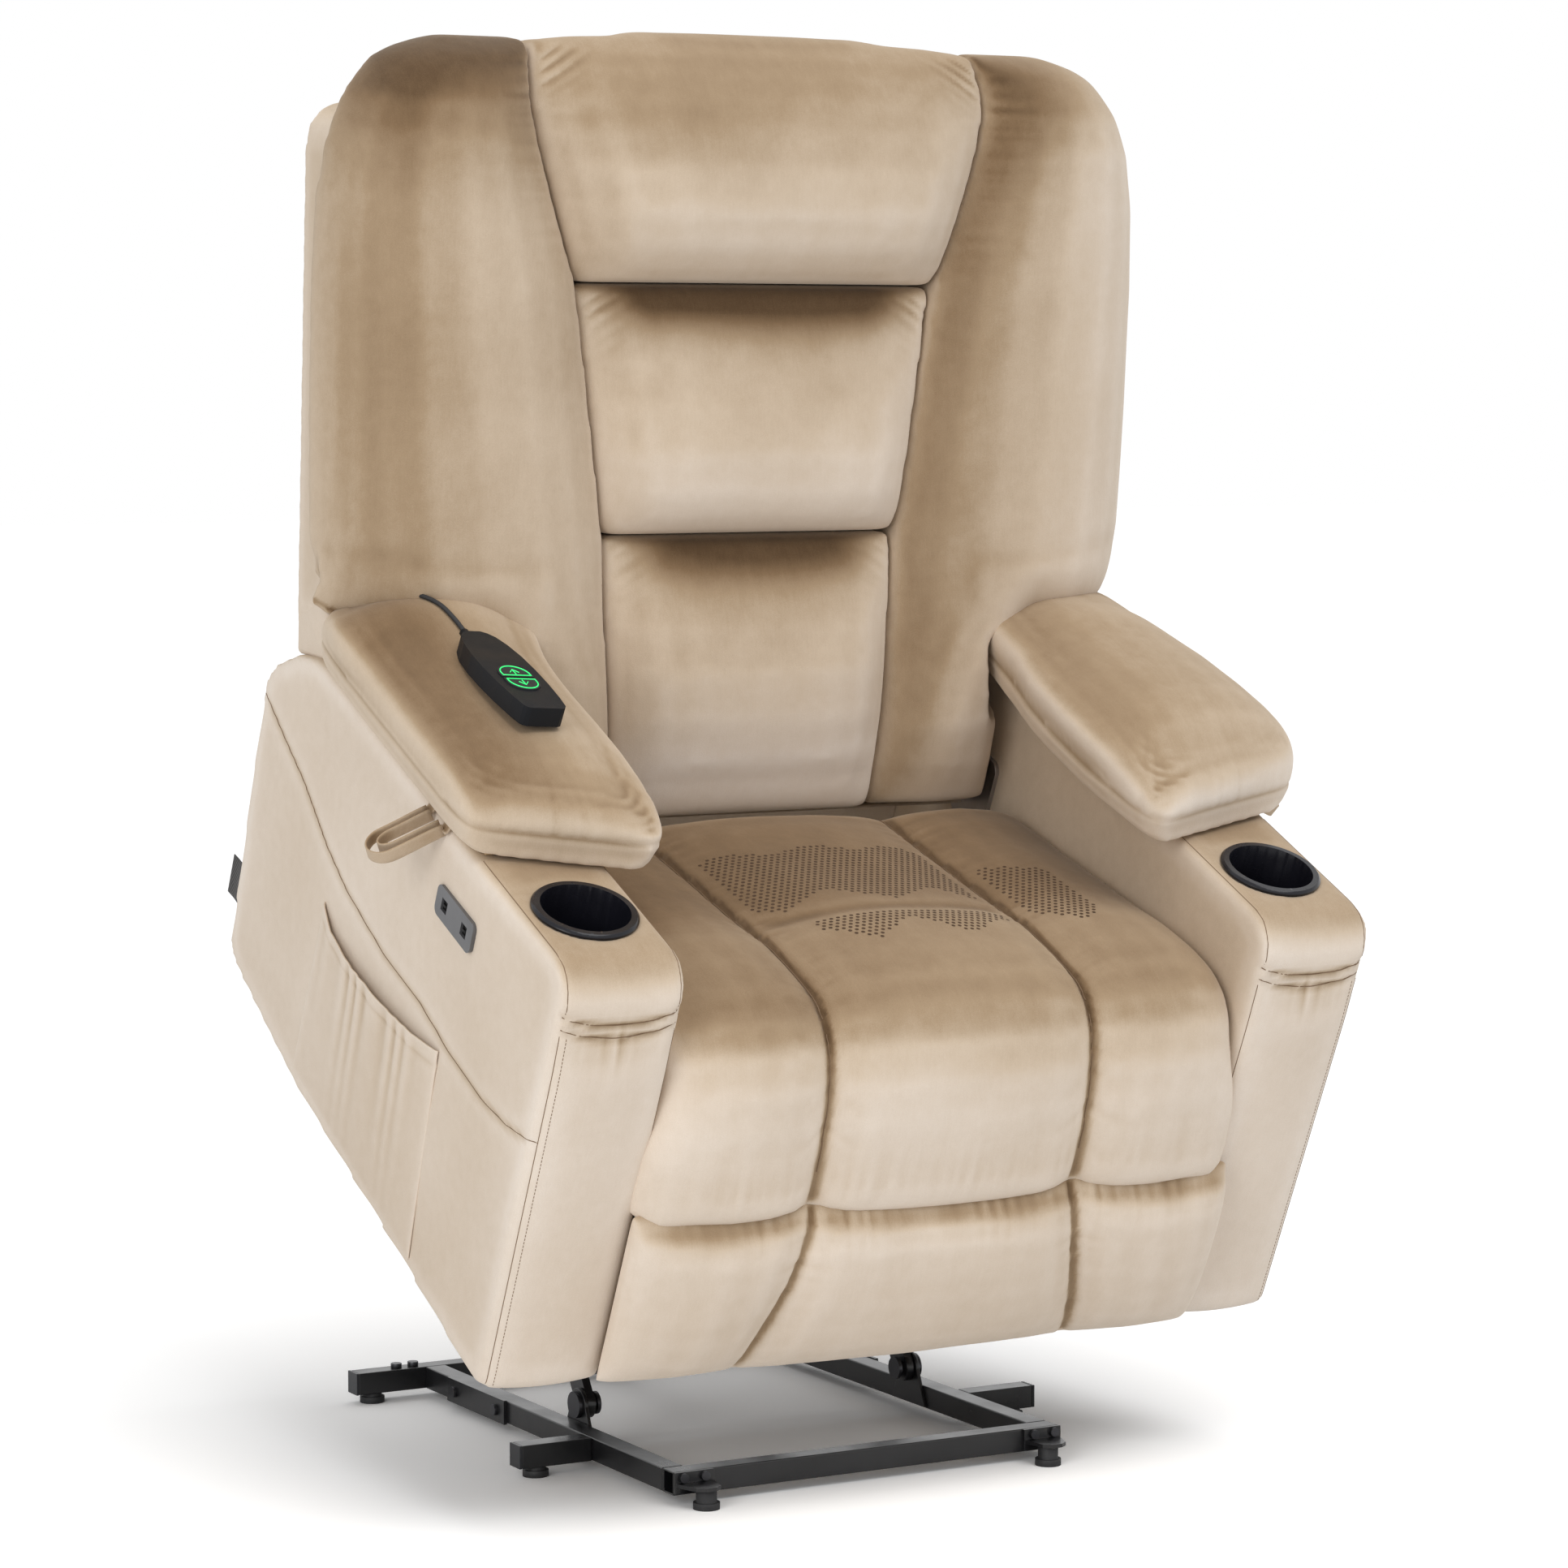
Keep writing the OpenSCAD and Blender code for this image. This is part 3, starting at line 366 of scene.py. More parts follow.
PIECES = []
INFLATE = 3.0       # pressure inside the cloth
MOST_SWELL = 0.012  # farthest that the cloth may move a point, m
INSET = 4.0         # mm that the free skin is drawn in before it is blown up
CLOTH_FRAMES = 20
PIN_LEVELS = 10     # steps of the pinning weight


def lengthen(ob, axis, side, level, by, root=4.0):
    """Adds a prism, along by, on each flat face that looks along the axis and lies at that level, in mm.

    The prism starts root inside the solid, so that the remesh joins the two.
    """
    bm = bmesh.new()
    bm.from_mesh(ob.data)
    flat = [f for f in bm.faces if f.normal[axis] * side > 0.99
            and abs(f.calc_center_median()[axis] * 1000 - level) < 0.6]
    made = [f for f in bmesh.ops.duplicate(bm, geom=flat)["geom"] if isinstance(f, bmesh.types.BMFace)]
    back = Vector((0, 0, 0))
    back[axis] = -root / 1000 * side
    foot = list({v for f in made for v in f.verts})
    bmesh.ops.translate(bm, verts=foot, vec=back)
    grown = bmesh.ops.extrude_face_region(bm, geom=made, use_keep_orig=True)["geom"]
    moved = [v for v in grown if isinstance(v, bmesh.types.BMVert)]
    bmesh.ops.translate(bm, verts=moved, vec=Vector(by) / 1000)
    bm.to_mesh(ob.data)
    bm.free()


# the last argument of soft sets how dark the painted shade is on slopes that face left
def soft(name, nodes, body, slot, voxel=8.0, smooth=6, pin=None, subdivide=1, shape=None, fill=0.6, tone=0.0,
         longer=(), left_facing_shade=0.0):
    """Starts a soft piece from its CAD solids: one closed, evenly meshed skin in the seated frame.

    A piece with a pin function is blown up as cloth, held where that function gives 1.
    """
    ob = copy_nodes(name, nodes)
    for part in longer:
        lengthen(ob, *part)
    modify(ob, "REMESH", mode="VOXEL", voxel_size=voxel / 1000, use_smooth_shade=True)
    modify(ob, "SMOOTH", factor=0.5, iterations=smooth)
    bake(ob)
    PIECES.append(dict(ob=ob, nodes=nodes, body=body, slot=slot, pin=pin, subdivide=subdivide, shape=shape,
                       fill=fill, tone=tone, left_facing_shade=left_facing_shade))


def simulate():
    """Inflates every piece that has a pin function, all in one run, with a cap on how far a point moves."""
    moving = [p for p in PIECES if p["pin"]]
    if not moving:
        return
    for p in moving:
        ob = p["ob"]
        seat = get_co(ob) * 1000
        hold = np.clip(p["pin"](seat, normals(ob)), 0, 1)
        p["rest"] = get_co(ob)
        set_co(ob, (seat - normals(ob) * (INSET * (1 - hold))[:, None]) / 1000)
        group = ob.vertex_groups.new(name="held")
        for level in range(1, PIN_LEVELS + 1):
            chosen = np.nonzero(np.round(hold * PIN_LEVELS) == level)[0]
            if len(chosen):
                group.add(chosen.tolist(), level / PIN_LEVELS, "REPLACE")
        s = ob.modifiers.new("cloth", "CLOTH")
        s.settings.quality = 5
        s.settings.mass = 0.3
        s.settings.tension_stiffness = s.settings.compression_stiffness = 15
        s.settings.shear_stiffness = 5
        s.settings.bending_stiffness = 6
        s.settings.use_pressure = True
        s.settings.uniform_pressure_force = INFLATE
        s.settings.vertex_group_mass = "held"
        s.settings.pin_stiffness = 1
        s.settings.effector_weights.gravity = 0
        s.collision_settings.use_collision = False
        s.collision_settings.use_self_collision = False
        s.point_cache.frame_start, s.point_cache.frame_end = 1, CLOTH_FRAMES
    for f in range(1, CLOTH_FRAMES + 1):
        bpy.context.scene.frame_set(f)
    for p in moving:
        bake(p["ob"])
        far = relax(get_co(p["ob"]) - p["rest"], edges(p["ob"]), 8)
        size = np.linalg.norm(far, axis=1, keepdims=True)
        set_co(p["ob"], p["rest"] + far * np.minimum(1, MOST_SWELL / np.maximum(size, 1e-9)))
        p["ob"].vertex_groups.clear()
    bpy.context.scene.frame_set(1)


def dress(p):
    """Seams, folds and painted shade of one piece, which then rides on its body."""
    ob = p["ob"]
    if p["subdivide"]:
        modify(ob, "SUBSURF", levels=p["subdivide"], render_levels=p["subdivide"])
        bake(ob)
    pairs = edges(ob)
    seat, n = get_co(ob) * 1000, normals(ob)
    extra = np.zeros(len(seat))
    if p["shape"]:
        move, extra = p["shape"](seat, n)
        seat = seat + move
        set_co(ob, seat / 1000)
        n = normals(ob)
    set_shade(ob, seat, n, pairs, extra + p["tone"], p["left_facing_shade"])
    set_co(ob, to_row(seat))
    finish_piece(ob, p["body"], velvet)
    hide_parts(*p["nodes"])


def set_shade(ob, seat, n, pairs, extra, left_facing_shade=0.0):
    """Painted light and shade of the plush: brown painted shade where it faces up, pale painted light facing
    forward or aside, darker painted shade in folds and on slopes that face left.
    """
    # painted shade in creases and hollows and a little painted light on crowns, from the curvature at two
    # scales
    fine = ((seat - relax(seat, pairs, 6)) * n).sum(1)
    fine = relax(fine, pairs, 2)
    broad = ((seat - relax(seat, pairs, 40)) * n).sum(1)
    # how much each face looks up, for the brown painted shade on top faces
    up = relax(n @ np.array([0, -0.08, 0.997]), pairs, 3)
    up = up + 0.05 * field(seat, 210, 5) + 0.02 * field(seat, 60, 6)
    shade = 0.76 - 0.32 * step(up, 0.30, 1.0)
    # painted shade on slopes that face left, as if the light came from the right
    shade -= left_facing_shade * bell(relax(-n[:, 0], pairs, 6) - 0.6, 0.5)
    shade += 0.025 * field(seat, 260, 7) + 0.008 * field(seat * (1, 0.5, 0.5), 50, 8)
    shade += np.clip(fine * 0.35, -0.22, 0.04) + np.clip(broad * 0.035, -0.12, 0.07)
    a = ob.data.attributes.new("shade", "FLOAT", "POINT")
    a.data.foreach_set("value", np.clip(shade + extra, 0.02, 0.98).astype(np.float32))


def finish_piece(ob, body, look):
    ob.data.materials.clear()
    ob.data.materials.append(look)
    for poly in ob.data.polygons:
        poly.use_smooth = True
    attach(ob, body)


# ---------------------------------------------------------------- back cushions and wings
# only the lumbar cushion starts below LOWEST, and only the pillow ends above HIGHEST
LOWEST, HIGHEST = 20, 800


def wing_in(h):
    """Half width between the wings at a height of the back."""
    return np.interp(h, [14, 297, 556, 640, 700, 740, 780, 802], [157, 174, 212, 240, 259, 267, 263, 258])


def back_shape(low, high, seed, corner):
    """Folds and painted shade of a cushion between two heights of the back; corner sets how strong its
    gathers are.
    """
    def shape(seat, n):
        q, m = seat_to_back(seat), seat_to_back(n + (0, BACK_Y, BACK_Z))
        half = wing_in(q[:, 2])
        front = step(-m[:, 1], 0.1, 0.6)
        edge = half - np.abs(q[:, 0])
        top, foot = high - q[:, 2], q[:, 2] - low
        fold = pucker(top, q[:, 0], 0.35, 12, 22, seed) + pucker(foot, q[:, 0], 0.3, 12, 20, seed + 3)
        fold += pucker(edge, q[:, 2], 0.35 * corner, 20, 21, seed + 6)
        near_corner = bell(edge, 34) * bell(top - 12, 34)
        fold += corner * 2.6 * near_corner * field(q[:, 0] * np.sign(q[:, 0]) * 0.6 + q[:, 2], 16, seed + 9)
        q2 = np.zeros_like(q)
        q2[:, 1] = -front * fold
        q2[:, 2] = -14 * step(44 - q[:, 2], 0, 26)
        # painted shade in a band under the cushion above and along the edges against the wings; paler painted
        # light low on the lumbar cushion, at the pillow's top and above each cushion's foot
        under_next = np.interp(high, [300, 550, 800], [0.5, 0.63, 0])
        tone = -under_next * front * bell(top - 10, 34) * step(edge, 0, 90) - 0.05 * bell(edge, 14) * front
        tone += 0.26 * (low < LOWEST) * bell(foot - 24, 44) + 0.06 * (high > HIGHEST) * bell(top - 30, 60)
        tone += 0.05 * front * bell(foot - 60, 60)
        return back_to_seat(q2, True), tone
    return shape


def back_pin(low, high):
    def pin(seat, n):
        q = seat_to_back(seat)
        rear = step(q[:, 1], 8, 40)
        ends = np.maximum(1 - step(q[:, 2] - low, 3, 14), 1 - step(high - q[:, 2], 3, 14))
        sides = 1 - step(wing_in(q[:, 2]) - np.abs(q[:, 0]), 3, 12)
        return np.maximum(np.maximum(rear, ends), sides)
    return pin


def wing_shape(seat, n):
    """Folds and painted shade of a wing, whose outer foot tucks in behind the arm pad."""
    q, m = seat_to_back(seat), seat_to_back(n + (0, BACK_Y, BACK_Z))
    side = np.sign(q[:, 0])
    edge = np.abs(q[:, 0]) - wing_in(q[:, 2])
    front = step(-m[:, 1], 0.0, 0.6)
    upper = step(q[:, 2], 520, 740)
    fold = pucker(edge, q[:, 2], 0.6 + 1.8 * upper, 20, 20, 21) * (0.2 + 0.8 * upper)
    fold += 1.0 * field(q * (1, 1, 0.35), 160, 23)
    q2 = np.zeros_like(q)
    q2[:, 1] = -front * fold
    q2[:, 2] = -14 * step(44 - q[:, 2], 0, 26)
    lobe = step(np.abs(seat[:, 0]), 256, 335) * np.clip((604 - seat[:, 2]) / 62, 0, 1)
    q2[:, 1] += 50 * (1 - np.sqrt(np.clip(1 - lobe ** 2, 0, 1))) * np.clip((100 - q[:, 1]) / 120, 0, 1)
    q2[:, 0] += side * 7 * step(520 - seat[:, 2], 0, 70) * step(np.abs(q[:, 0]), 240, 285)
    # painted shade along the inner edge and high up, over the left wing and most at its top, as if lit from
    # the right; painted light low on the right wing and on its outer part
    tone = -0.09 * front * bell(edge, 42) - 0.05 - 0.05 * (side < 0) * step(q[:, 2], 150, 500)
    tone += -0.10 * upper * front * bell(edge - 40, 70) - 0.24 * step(q[:, 2], 600, 790) * (side < 0)
    tone += np.where(side < 0, -0.10, 0.05) * front * bell(q[:, 2] - 80, 90)
    tone += 0.07 * (side > 0) * step(np.abs(q[:, 0]), 320, 400)
    return back_to_seat(q2, True), tone


def wing_pin(seat, n):
    q = seat_to_back(seat)
    return np.maximum(step(q[:, 1], 20, 55), 1 - step(np.abs(q[:, 0]) - wing_in(q[:, 2]), 2, 12))


CUSHIONS = (("pillow", "head_pillow", 556.8, 814, 31, 1.0, -0.09),
            ("middle_cushion", "mid_cushion", 297.8, 555.6, 41, 0.4, 0.0),
            ("lumbar_pad", "lumbar_cushion", 14, 296.6, 51, 0.4, 0.0))
for name, node, low, high, seed, corner, tone in CUSHIONS:
    soft(name, [node], "backrest", "plush", left_facing_shade=0.15, tone=tone, shape=back_shape(low, high, seed, corner),
         pin=back_pin(low, high))
WING_CUT, WING_STEP = 590, 256   # level and half width where the CAD wing is cut clear of the arm pad
for side, sign in (("left", -1), ("right", 1)):
    soft("back_wing_" + side, ["wing_" + side], "backrest", "plush", left_facing_shade=0.32, shape=wing_shape, pin=wing_pin,
         longer=((2, -1, WING_CUT, (0, -27, -70), 8), (0, sign, WING_STEP * sign, (20 * sign, 0, 0))))
soft("back_cover", ["back_shell"], "backrest", "covered_board", voxel=5, subdivide=0, smooth=8, fill=0.3,
     tone=-0.08)


# ---------------------------------------------------------------- seat and footrest
SEAT_SEAM, CROSS_SEAM = 150, 222   # half width of the middle panel, and how far back its cross seam lies


def seat_shape(seat, n):
    x, y, z = seat.T
    up = step(n[:, 2] - n[:, 1] * 0.9, 0.1, 0.8)
    seam = np.minimum(np.abs(x - SEAT_SEAM), np.abs(x + SEAT_SEAM))
    fold = -5 * bell(seam, 5) * up
    fold += up * pucker(seam, y * 0.8 - z * 0.6, 0.8, 14, 20, 61)
    cross = np.abs(y - CROSS_SEAM) + 400 * step(np.abs(x), SEAT_SEAM - 7, SEAT_SEAM)
    fold += up * -2.2 * bell(cross, 12) * step(SEAT_SEAM - np.abs(x), 0, 30)
    low = z - 231
    fold += step(-n[:, 1], 0.2, 0.8) * pucker(low, x, 0.7, 14, 22, 68)
    fold += up * 1.0 * field(seat, 150, 70)
    # painted shade along the seams, on faces that look up, over the rear of the top and on the left panel's
    # top; painted light on the front face
    tone = -0.10 * up * bell(seam, 10) - 0.09 * step(n[:, 2], 0.5, 0.95)
    tone += -0.15 * step(y, 150, 300) * step(n[:, 2], 0.3, 0.8)
    tone += 0.08 * step(-n[:, 1], 0.5, 0.95) * bell(z - 290, 50)
    tone -= 0.07 * step(-x, 140, 160) * step(n[:, 2], 0.3, 0.9)
    move = n * fold[:, None]
    lip = step(264 - z, 0, 28) * step(72 - y, 0, 40)
    move[:, 2] -= (13 + 7 * step(np.abs(x), 270, 305)) * lip
    move[:, 0] += np.sign(x) * 19 * step(345 - z, 0, 110) * step(72 - y, 0, 40) * step(np.abs(x), 255, 300)
    return move, tone


def seat_pin(seat, n):
    x, y, z = seat.T
    seam = np.minimum(np.abs(x - SEAT_SEAM), np.abs(x + SEAT_SEAM))
    under = 1 - step(z, 236, 252)
    rear = step(y, 470, 495)
    ends = step(np.abs(x), 300, 316)
    return np.maximum.reduce([under, rear, ends, 1 - step(seam, 5, 14)])


def rest_seam(z):
    return np.interp(z, [0, 60, 130, 205], [193, 180, 161, 146])


def rest_shape(seat, n):
    x, z = seat[:, 0], seat[:, 2]
    seam = np.abs(np.abs(x) - rest_seam(z))
    front = step(-n[:, 1], 0.05, 0.6)
    top = 198 - z
    fold = front * (-5 * bell(seam, 5) + pucker(seam, z, 0.7, 12, 18, 81) + pucker(top, x, 1.0, 16, 21, 84))
    fold += front * 1.0 * field(seat, 140, 86)
    move = n * fold[:, None]
    move[:, 0] += np.sign(x) * 5 * step(np.abs(x), 296, 318)
    move[:, 2] += 7 * step(z, 186, 203)
    # painted shade along the seams and in a band under the top edge
    tone = -0.08 * front * bell(seam, 9) - 0.17 * step(z, 158, 194) * (0.8 + 0.3 * field(x, 60, 88))
    return move, tone


def rest_pin(seat, n):
    x, y, z = seat.T
    seam = np.abs(np.abs(x) - rest_seam(z))
    return np.maximum.reduce([step(y, 8, 16), 1 - step(seam, 5, 12), step(z, 190, 198), 1 - step(z, 4, 12),
                              step(np.abs(x), 318, 332)])


soft("seat_pad", ["seat_cushion"], "chair", "plush", left_facing_shade=0.05, shape=seat_shape, pin=seat_pin, tone=-0.03)
soft("footrest_pad", ["footrest_cushion"], "footrest", "plush", voxel=7, shape=rest_shape, pin=rest_pin)


# ---------------------------------------------------------------- arms
SIDE_SEAM = [(27, 284), (83, 269), (143, 261), (225, 262), (300, 272), (389, 274), (498, 287), (556, 302),
             (637, 335), (706, 354), (765, 371)]
ARM_MID, ARM_HALF, ARM_FACE = 391, 66, 25   # across: middle and half width of an arm; depth of its front face
ARM_OUT = 457.0                             # across: outer face of an arm


def band_level(x, which):
    """Height of the two seams under the nose, which hang a little in the middle."""
    return 421 - 12.5 * which - 12 * np.clip(1 - ((np.abs(x) - ARM_MID) / ARM_HALF) ** 2, 0, 1)


def arm_shape(seat, n):
    x, y, z = np.abs(seat[:, 0]), seat[:, 1], seat[:, 2]
    outer, front = step(np.abs(n[:, 0]), 0.6, 0.9) * (x > 440), step(-n[:, 1], 0.5, 0.9) * (y < 60)
    low = near(seat[:, 1:], SIDE_SEAM)
    fold = outer * (-1.6 * bell(low, 4) + 2.2 * field(seat[:, 1:], 260, 91) * 0.5)
    belly = np.clip(1 - ((x - ARM_MID) / ARM_HALF) ** 2, 0, 1)
    under = step(408 - z, 0, 60)
    fold += front * under * 7 * belly
    band, band_low = z - band_level(x, 0), z - band_level(x, 1)
    fold += -3.2 * bell(band, 4) * step(-n[:, 1], 0.3, 0.7) * (y < 60)
    fold += (1.5 + 0.6 * field(x, 11, 95)) * bell(band + 6.5, 4) * front - 2.4 * bell(band_low, 3.5) * front
    gather = 0.25 + 2.4 * bell(x - 398, 30)
    fold += front * pucker(band_low, x, gather, 20, 15, 93) * (band_low < 0)
    corner = np.hypot(np.abs(x - ARM_MID) - 62, y - 29)
    fold += -0.8 * bell(corner, 4) * (z < 421)
    # painted shade in the gathers and seams under the nose, on faces that look up, low on the outer side and
    # on the inner face; painted light on the outer side and on the right arm's front
    tone = -0.05 * front * bell(band_low + 10, 22) * gather * (0.6 + 0.8 * field(x, 13, 97))
    tone -= 0.07 * front * bell(band_low, 5)
    tone += -0.06 * bell(band, 6) * front + 0.05 * outer - 0.07 * step(n[:, 2], 0.2, 0.8)
    tone += 0.05 * front * (seat[:, 0] > 0) - 0.07 * outer * step(150 - z, 0, 140)
    tone -= 0.14 * step(330 - x, 0, 6) * step(np.abs(n[:, 0]), 0.5, 0.9)
    return n * fold[:, None], tone


for side in ("left", "right"):
    soft("arm_cover_" + side, [f"arm_{part}_{side}" for part in ("deck", "side", "inner", "front")], "chair",
         "covered_board", voxel=5.5, subdivide=0, smooth=8, shape=arm_shape, fill=0.3)


# ---------------------------------------------------------------- arm pads
PAD_RIM = 501   # level of the seam round an arm pad


def pad_shape(seat, n):
    x, y, z = np.abs(seat[:, 0]), seat[:, 1], seat[:, 2]
    t, u = (y - 435) / 220, (x - 377.5) / 97
    right = seat[:, 0] > 0
    rim = z - PAD_RIM
    ends = np.hypot(u, t)
    crown = step(rim, 4, 30)
    middle = step(t, -1, -0.55) * (1 - step(t, 0.2, 0.75))
    fold = crown * middle * (3 + 5 * right)
    fold += crown * 8 * bell(t - 0.42, 0.26) * bell(u + 0.1, 0.7)
    fold += (1 - step(rim, -8, 6)) * step(np.abs(n[:, 0]), 0.5, 0.9) * middle * (2 + 3 * right)
    fold += (7 + 5 * step(-u, 0.3, 0.7)) * bell(rim - 21, 21) * step(np.hypot(n[:, 0], n[:, 1]), 0.3, 0.8)
    fold += 15 * crown * bell(y - 572, 46) * ~right
    fold += -1.6 * bell(rim, 3) * step(ends, 0.75, 0.9)
    around = np.arctan2(t * 2.2, u) * 170
    front = step(-t, 0.5, 0.95)
    gather = 0.15 + 1.1 * front * step(field(around, 70, 107), -0.5, 0.6)
    fold += pucker(rim, around, gather, 20, 15, 101) * (rim > 0)
    fold += 1.0 * field(seat, 120, 103) * crown
    # painted shade along the seam, over the front of the crown and on the left pad's outer slope; painted
    # light on the right pad and the left pad's inner slope
    tone = -0.05 * bell(rim, 5) - 0.03 * front * (rim > 0) + 0.05 * right * (rim > 0)
    tone += 0.07 * front * right
    across = -0.15 * bell(u - 0.45, 0.45) + 0.05 * bell(u + 0.5, 0.5)
    tone += across * ~right * step(rim, 2, 14) * step(t, -0.95, -0.6)
    return n * fold[:, None], tone


def pad_pin(seat, n):
    return np.maximum(1 - step(seat[:, 2], 484, 492), bell(seat[:, 2] - PAD_RIM, 5))


for side in ("left", "right"):
    soft("arm_rest_" + side, ["arm_pad_" + side], "pad_lid_" + side, "plush", voxel=6, left_facing_shade=0.2,
         shape=pad_shape, pin=pad_pin)

soft("rear_panel", ["rear_apron"], "chair", "covered_board", voxel=4, subdivide=0, smooth=3, fill=0.2)

simulate()
for piece in PIECES:
    dress(piece)


# ---------------------------------------------------------------- loose foot of the back cover, over the arms
def cover_foot(name, sign):
    """The cover's hem between the back and the top of an arm."""
    foot, head, front, rear = 167, 234, 81, 157
    profile = [(d, foot) for d in np.linspace(front, rear, 9)] + [(rear, head), (front, head)]
    bm = bmesh.new()
    rings = [[bm.verts.new((sign * x / 1000, d / 1000, h / 1000)) for d, h in profile]
             for x in np.linspace(326, 449.5, 14)]
    for a, b in zip(rings, rings[1:]):
        for i in range(len(profile)):
            j = (i + 1) % len(profile)
            bm.faces.new((a[i], a[j], b[j], b[i]))
    bm.faces.new(rings[0])
    bm.faces.new(rings[-1][::-1])
    bmesh.ops.recalc_face_normals(bm, faces=bm.faces)
    mesh = bpy.data.meshes.new(name)
    bm.to_mesh(mesh)
    bm.free()
    ob = new_object(name, mesh)
    modify(ob, "BEVEL", width=0.006, segments=3, limit_method="ANGLE", angle_limit=0.9)
    bake(ob)
    seat = back_to_seat(get_co(ob) * 1000)
    set_shade(ob, seat, normals(ob), edges(ob), np.full(len(seat), -0.08))
    set_co(ob, to_row(seat))
    finish_piece(ob, "backrest", velvet)
    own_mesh(ob)


cover_foot("cover_foot_left", -1)
cover_foot("cover_foot_right", 1)

# ---------------------------------------------------------------- drawn pieces: tubes, strips, seams
def tube(name, lines, radius, look, body, closed=False):
    """One curve object of thin round lines; points are given in the seated frame, in mm."""
    curve = bpy.data.curves.new(name, "CURVE")
    curve.dimensions, curve.bevel_depth, curve.bevel_resolution = "3D", radius / 1000, 2
    curve.use_fill_caps = True
    for line in lines:
        pts = to_row(line)
        spline = curve.splines.new("POLY")
        spline.points.add(len(pts) - 1)
        spline.points.foreach_set("co", np.hstack([pts, np.ones((len(pts), 1))]).ravel())
        spline.use_cyclic_u = closed
    curve.materials.append(look)
    ob = new_object(name, curve)
    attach(ob, body)
    return ob


def resample(line, gap):
    line = np.asarray(line, float)
    run = np.concatenate([[0], np.cumsum(np.linalg.norm(np.diff(line, axis=0), axis=1))])
    t = np.linspace(0, run[-1], max(2, int(round(run[-1] / gap)) + 1))
    return np.stack([np.interp(t, run, line[:, k]) for k in range(line.shape[1])], 1)


SKINS = {}


def skin(name):
    """Search tree of a finished soft piece, in the row frame."""
    if name not in SKINS:
        mesh = bpy.data.objects[name].data
        SKINS[name] = BVHTree.FromPolygons([v.co for v in mesh.vertices], [p.vertices for p in mesh.polygons])
    return SKINS[name]


def lay(name, points, toward, lift=0.15, back=150, reach=330):
    """Drops points of the seated frame on to a soft piece along a direction: points and normals, in mm."""
    tree = skin(name)
    toward = np.broadcast_to(np.asarray(toward, float), (len(points), 3))
    hits, turned = [], []
    for p, d in zip(np.asarray(points, float), toward):
        d = d / np.linalg.norm(d)
        at, n, _, _ = tree.ray_cast(Vector(to_row(p - d * back)), Vector(RAISE @ d), reach / 1000)
        if at is not None:
            n = RAISE.T @ np.array(n)
            hits.append(to_seat(np.array(at)) + n * lift)
            turned.append(n)
    return np.array(hits).reshape(-1, 3), np.array(turned).reshape(-1, 3)


def runs(points, gap):
    """Splits laid points where the line was interrupted."""
    cut = np.nonzero(np.linalg.norm(np.diff(points, axis=0), axis=1) > gap)[0] + 1
    return [r for r in np.split(points, cut) if len(r) > 1]


def seam(name, target, line, toward, body, radius, lift=0.05, stitch=0.0, exact=False):
    """A sewn line along a surface, as a thread or as a row of short stitches."""
    pts, _ = lay(target, line if exact else resample(line, 3), toward, lift)
    lines = []
    for run in runs(pts, 14):
        if stitch:
            fine = resample(run, 0.5)
            every, length = int(stitch * 2), int(stitch * 1.5)
            lines += [fine[i:i + length] for i in range(0, len(fine) - length, every)]
        else:
            lines.append(run)
    tube(name, lines, radius, thread, body)


def strip(name, path, sides, wide, thick, look, body):
    """A flat ribbon along a path: path and width directions in the seated frame, in mm."""
    path, sides = np.asarray(path, float), np.asarray(sides, float)
    ahead = np.gradient(path, axis=0)
    face = np.cross(ahead, sides)
    face /= np.linalg.norm(face, axis=1, keepdims=True)
    half = [(-0.5, -0.25), (-0.46, -0.5), (-0.25, -0.42), (0, -0.5), (0.25, -0.42), (0.46, -0.5),
            (0.5, -0.25)]
    profile = half + [(-a, -b) for a, b in half]
    k = len(profile)
    out, up = zip(*profile)
    verts = np.concatenate([p + np.outer(out, s * wide) + np.outer(up, f * thick)
                            for p, s, f in zip(path, sides, face)])
    faces = [(i * k + j, i * k + (j + 1) % k, (i + 1) * k + (j + 1) % k, (i + 1) * k + j)
             for i in range(len(path) - 1) for j in range(k)]
    faces += [tuple(range(k - 1, -1, -1)), tuple(range((len(path) - 1) * k, len(path) * k))]
    mesh = bpy.data.meshes.new(name)
    mesh.from_pydata([tuple(v) for v in to_row(verts)], [], faces)
    ob = new_object(name, mesh)
    set_shade(ob, verts, normals(ob) @ RAISE, edges(ob), np.zeros(len(verts)) - 0.3)
    finish_piece(ob, body, look)
    return ob


# ---------------------------------------------------------------- handset cord
CORD_EXIT = (-374.4, 499, 570.1)
CORD_RADIUS = 2.4
CORD_ON_PAD = [(-375, 510), (-378, 530), (-383, 552), (-390, 572), (-398, 590), (-406, 607), (-413, 624),
               (-418, 641)]
CORD_BEHIND = [(-419, 664, 521), (-419.5, 672, 506), (-419, 678, 494), (-418, 683, 485), (-418, 684, 475.4),
               (-418, 679, 464.4), (-418, 671, 447.5)]


def through(points, parts):
    """Smooth line through points."""
    p = np.asarray(points, float)
    ends = np.vstack([p[:1], p, p[-1:]])
    line = []
    for a, b, c, d in zip(ends, ends[1:], ends[2:], ends[3:]):
        for i in range(parts):
            t = i / parts
            square, cube = 2 * a - 5 * b + 4 * c - d, 3 * b - a - 3 * c + d
            line.append(0.5 * (2 * b + (c - a) * t + square * t * t + cube * t ** 3))
    return np.array(line + [p[-1]])


on_pad, _ = lay("arm_rest_left", [(x, y, 640) for x, y in CORD_ON_PAD], (0, 0, -1), lift=2.5)
cord_line = through([CORD_EXIT, *on_pad, *CORD_BEHIND], 4)
cord = tube("handset_lead", [cord_line], CORD_RADIUS, rubber, "pad_lid_left")
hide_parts("handset_cord")


